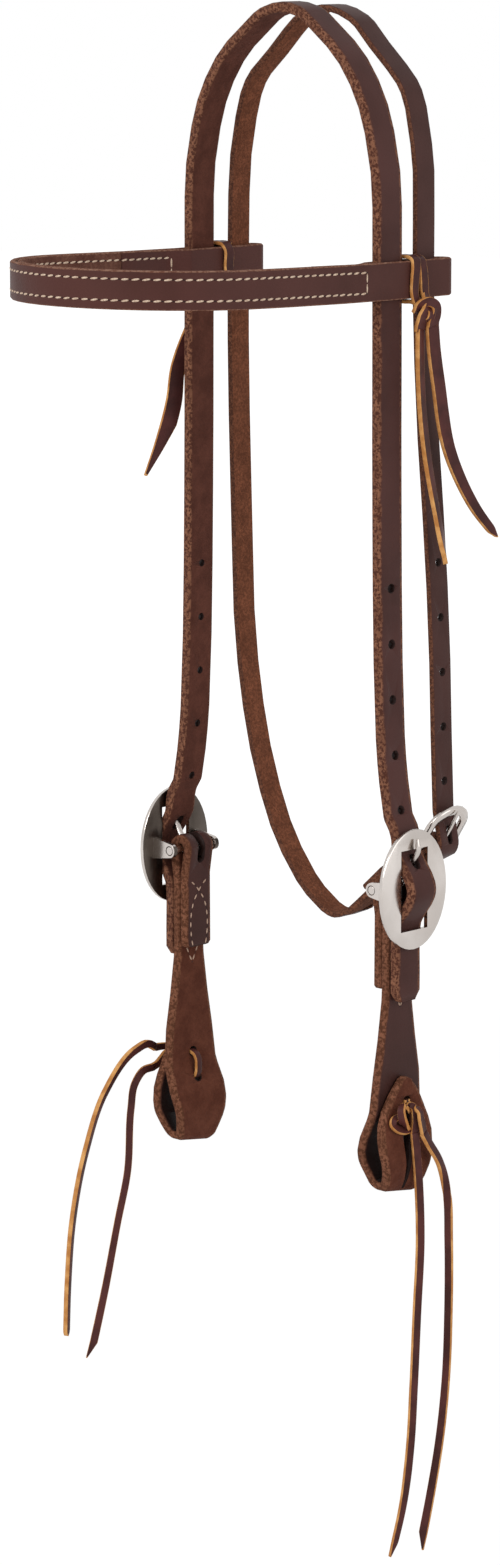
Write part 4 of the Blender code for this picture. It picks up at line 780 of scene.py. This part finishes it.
# %% Browband ties
BAND_PASSES = (
    # out from the middle plane, back and up from the band's middle, in mm, then the width and its swell
    (((67.6, 13.4, -12.2), (66.3, 11.4, -9.6), (65.75, 10.9, -6.5), (65.7, 11.1, 0.0), (65.7, 11.8, 6.0),
      (65.2, 12.0, 8.8), (63.4, 12.2, 9.9), (59.0, 12.4, 10.1), (54.6, 12.6, 9.7), (52.5, 12.6, 7.8),
      (52.2, 12.6, 0.0), (52.5, 12.8, -7.8), (54.6, 13.0, -9.7), (59.0, 13.2, -10.2), (63.4, 13.4, -10.2),
      (66.4, 13.6, -11.4)), 5.0, ((0, 0.72), (0.10, 0.86), (0.3, 1.0), (0.4, 1.08), (0.8, 1.0), (1, 0.7))),
    (((69.0, 16.0, -12.6), (67.2, 17.6, -9.8), (65.8, 17.7, -7.0), (65.7, 17.0, 0.0), (65.7, 16.2, 5.6),
      (65.0, 16.1, 8.6), (63.0, 16.1, 9.8), (59.0, 16.1, 10.0), (55.6, 16.0, 9.6)), 4.4, ((0, 0.8), (0.3, 1.1), (1, 0.9))),
)
BAND_TURNS = (
    # the two turns of the knot, in the same terms, each running into a free end
    (((66.8, 16.6, -6.6), (68.6, 15.6, -9.6), (70.6, 13.4, -12.6), (70.4, 11.2, -16.2), (69.2, 11.2, -19.6),
      (68.9, 11.4, -22.6)), 5.4, ((0, 0.62), (0.5, 0.78), (1, 1.3))),
    (((66.6, 10.2, -14.6), (68.6, 10.8, -11.2), (70.9, 14.2, -9.6), (72.2, 17.8, -11.6), (71.6, 18.6, -15.2),
      (70.9, 17.8, -18.4), (70.7, 17.4, -21.6)), 5.4, ((0, 0.62), (0.5, 0.82), (1, 1.3))),
    (((67.6, 14.4, -14.4), (69.4, 14.8, -13.2), (71.3, 15.4, -14.0), (71.2, 15.0, -17.0), (69.4, 14.4, -18.4)),
     4.6, ((0, 0.8), (1, 0.9))),
)
for side, sign in (("near", 1), ("far", -1)):
    bm = bmesh.new()
    for points, width, swell in BAND_PASSES:
        line = smooth_line([(sign * x * MM, y * MM, (z - 118) * MM) for x, y, z in points], 0.7 * MM)
        strand(bm, line, (0, 1, 0), width * MM, 1.7 * MM, swell=swell)
    for points, width, swell in BAND_TURNS:
        line = smooth_line([(sign * x * MM, y * MM, (z - 118) * MM) for x, y, z in points], 0.7 * MM)
        strand(bm, line, None, width * MM, 2.0 * MM, cup=0.15, facing=(sign, 0, 0), swell=swell)
    node = side + "_browband_tie_knot"
    piece = link_piece(node + "_lace", finish_strands(bm), latigo, "browband", (node,))
    print(piece.name, "faces", len(piece.data.polygons))

# %% Bit ties
BIT_BIGHT = (
    # out from the middle plane and up, in mm: in through the upper hole, down inside the leg, out through the lower
    (73.8, -492.2), (64.0, -492.1), (62.2, -492.8), (60.6, -495.0), (60.3, -498.4), (60.6, -501.8),
    (62.2, -503.9), (64.0, -504.6), (73.8, -504.4),
)
BIT_TURNS = {
    # the turns of each knot: points in mm, the width, its swell, and the way the face looks
    "near": (
        (((75.6, 2.6, -503.1), (75.6, 0.4, -504.7), (75.5, -2.8, -505.1), (75.3, -6.3, -504.4), (75.0, -9.4, -502.7),
          (74.8, -11.0, -500.7), (74.6, -10.2, -498.8), (74.4, -6.5, -498.4), (74.3, -2.2, -499.1)), 3.4,
         ((0, 0.8), (0.25, 1.0), (0.6, 0.9), (1, 0.8)), (0.80, -0.10, 0.50)),
        (((74.8, -0.9, -496.5), (76.0, -3.8, -493.8), (77.2, -7.1, -492.6), (78.0, -8.7, -494.2), (78.3, -8.6, -496.7),
          (77.8, -6.9, -499.9), (76.2, -3.3, -502.9), (74.6, 0.3, -504.4)), 3.6,
         ((0, 0.7), (0.35, 0.9), (0.65, 1.15), (1, 0.8)), (0.25, -0.95, 0.15)),
        (((74.6, -0.7, -494.6), (76.0, -0.5, -493.3), (77.6, 0.0, -494.2), (78.4, 0.2, -497.0), (78.4, 0.6, -500.1),
          (77.8, 0.9, -503.3), (77.5, 0.9, -506.8)), 3.8, ((0, 0.7), (0.5, 1.0), (1, 1.0)), (0.91, -0.37, 0.0)),
        (((76.6, 0.5, -495.8), (78.8, 0.2, -494.5), (80.4, 0.8, -495.8), (80.9, 1.2, -498.9), (80.8, 2.3, -502.5),
          (80.5, 3.7, -506.4)), 3.6, ((0, 0.7), (0.4, 0.95), (1, 1.05)), (0.95, 0.23, 0.0)),
        (((75.0, 3.0, -497.8), (75.8, 5.0, -499.3), (76.0, 7.2, -501.4), (75.9, 8.6, -504.4), (75.4, 9.4, -506.8)), 2.8,
         ((0, 0.8), (0.5, 1.0), (1, 0.5)), (0.9, -0.3, 0.2)),
    ),
    "far": (
        (((73.9, 0.4, -491.9), (76.4, -0.8, -491.4), (78.2, -3.6, -491.2), (78.9, -6.8, -491.0), (79.1, -10.1, -490.9)),
         3.6, ((0, 0.8), (0.5, 0.9), (1, 1.0)), (1, 0, 0)),
        (((74.2, 0.2, -504.6), (76.4, 2.6, -503.6), (78.8, 4.0, -500.0), (80.4, 2.6, -496.4), (81.0, -0.6, -495.6),
          (81.0, -4.0, -497.8), (80.5, -7.6, -499.8), (80.2, -10.8, -500.6)), 3.6, ((0, 0.8), (0.5, 0.9), (1, 1.0)), (1, 0, 0)),
        (((76.6, -3.6, -494.6), (77.6, -4.6, -497.4), (78.2, -3.8, -500.8), (78.8, -0.8, -502.6), (79.2, 1.8, -501.6),
          (79.0, 3.0, -499.2)), 3.0, ((0, 0.7), (0.5, 1.0), (1, 0.8)), (1, 0, 0)),
    ),
}
for side, sign in (("near", 1), ("far", -1)):
    bm = bmesh.new()
    line = smooth_line([(sign * x * MM, 0, z * MM) for x, z in BIT_BIGHT], 0.6 * MM)
    strand(bm, line, (0, 1, 0), 3.4 * MM, 1.7 * MM, cup=-0.1)
    for points, width, swell, (look_x, look_y, look_z) in BIT_TURNS[side]:
        line = smooth_line([(sign * x * MM, y * MM, z * MM) for x, y, z in points], 0.6 * MM)
        look = (sign * look_x, look_y, look_z)
        strand(bm, line, None, width * MM, 1.8 * MM, cup=0.15, facing=look, swell=swell)
    node = side + "_bit_tie_knot"
    piece = link_piece(node + "_lace", finish_strands(bm), latigo, side + "_bit", (node,))
    print(piece.name, "faces", len(piece.data.polygons))

# %% [markdown]
# ## Floor, backdrop and light
# The headstall hangs in front of white paper. The floor and the world look white to the camera and to polished
# metal, and light the leather only at a plain level, so a colour renders about as it is written.

# %% Studio
floor_bm = bmesh.new()
bmesh.ops.create_grid(floor_bm, x_segments=1, y_segments=1, size=6.0)
floor_mesh = bpy.data.meshes.new("floor")
bmesh.ops.translate(floor_bm, verts=floor_bm.verts, vec=(0, 0, -0.73))
floor_bm.to_mesh(floor_mesh)
floor_bm.free()
floor = bpy.data.objects.new("floor", floor_mesh)
bpy.context.scene.collection.objects.link(floor)
paper = bpy.data.materials.new("studio_paper_white")
paper.use_nodes = True
tree = paper.node_tree
tree.nodes.clear()
seen = add(tree, "ShaderNodeLightPath")
matt = add(tree, "ShaderNodeBsdfDiffuse", {"Color": linear("#f4f2f0")})
spot = add(tree, "ShaderNodeTexCoord").outputs["Object"]
far_off = add(tree, "ShaderNodeVectorMath", links={0: spot}, operation="LENGTH").outputs["Value"]
strength = mapped_range(tree, far_off, 0.9, 2.4, 0.74, 0.90)
glow = add(tree, "ShaderNodeEmission", {"Color": (1, 1, 1, 1)}, {"Strength": strength})
shadow = add(tree, "ShaderNodeBsdfDiffuse", {"Color": (0.34, 0.34, 0.34, 1)})
white = add(tree, "ShaderNodeAddShader", links={0: glow.outputs[0], 1: shadow.outputs[0]})
shine = add(
    tree, "ShaderNodeMath", links={0: seen.outputs["Is Camera Ray"], 1: seen.outputs["Is Glossy Ray"]}, operation="MAXIMUM"
)
shine = add(tree, "ShaderNodeMath", links={0: shine.outputs[0], 1: seen.outputs["Is Transmission Ray"]}, operation="MAXIMUM")
both = add(tree, "ShaderNodeMixShader", links={0: shine.outputs[0], 1: matt.outputs[0], 2: white.outputs[0]})
add(tree, "ShaderNodeOutputMaterial", links={"Surface": both.outputs[0]})
floor_mesh.materials.append(paper)

world = bpy.data.worlds.new("studio")
bpy.context.scene.world = world
world.use_nodes = True
tree = world.node_tree
tree.nodes.clear()
seen = add(tree, "ShaderNodeLightPath")
any_seen = add(tree, "ShaderNodeMath", links={0: seen.outputs["Is Camera Ray"], 1: seen.outputs["Is Glossy Ray"]}, operation="MAXIMUM")
any_seen = add(tree, "ShaderNodeMath", links={0: any_seen.outputs[0], 1: seen.outputs["Is Transmission Ray"]}, operation="MAXIMUM")
level = add(tree, "ShaderNodeMapRange", {"To Min": 0.62, "To Max": 1.0}, {"Value": any_seen.outputs[0]})
back = add(tree, "ShaderNodeBackground", {"Color": (1, 1, 1, 1)}, {"Strength": level.outputs[0]})
add(tree, "ShaderNodeOutputWorld", links={"Surface": back.outputs[0]})


def soft_lamp(name, place, aim, size, power):
    """A square soft box that looks at a place."""
    lamp = bpy.data.lights.new(name, "AREA")
    lamp.shape = "SQUARE"
    lamp.size = size
    lamp.energy = power
    made = bpy.data.objects.new(name, lamp)
    made.location = place
    made.rotation_euler = (Vector(aim) - Vector(place)).to_track_quat("-Z", "Y").to_euler()
    bpy.context.scene.collection.objects.link(made)
    return made


soft_lamp("key_soft_box", (0.2, -2.6, 1.3), (0, 0, -0.3), 1.4, 36)
soft_lamp("fill_soft_box", (2.6, 0.4, 0.5), (0, 0, -0.3), 1.8, 16)
bpy.context.scene.view_settings.view_transform = "Standard"
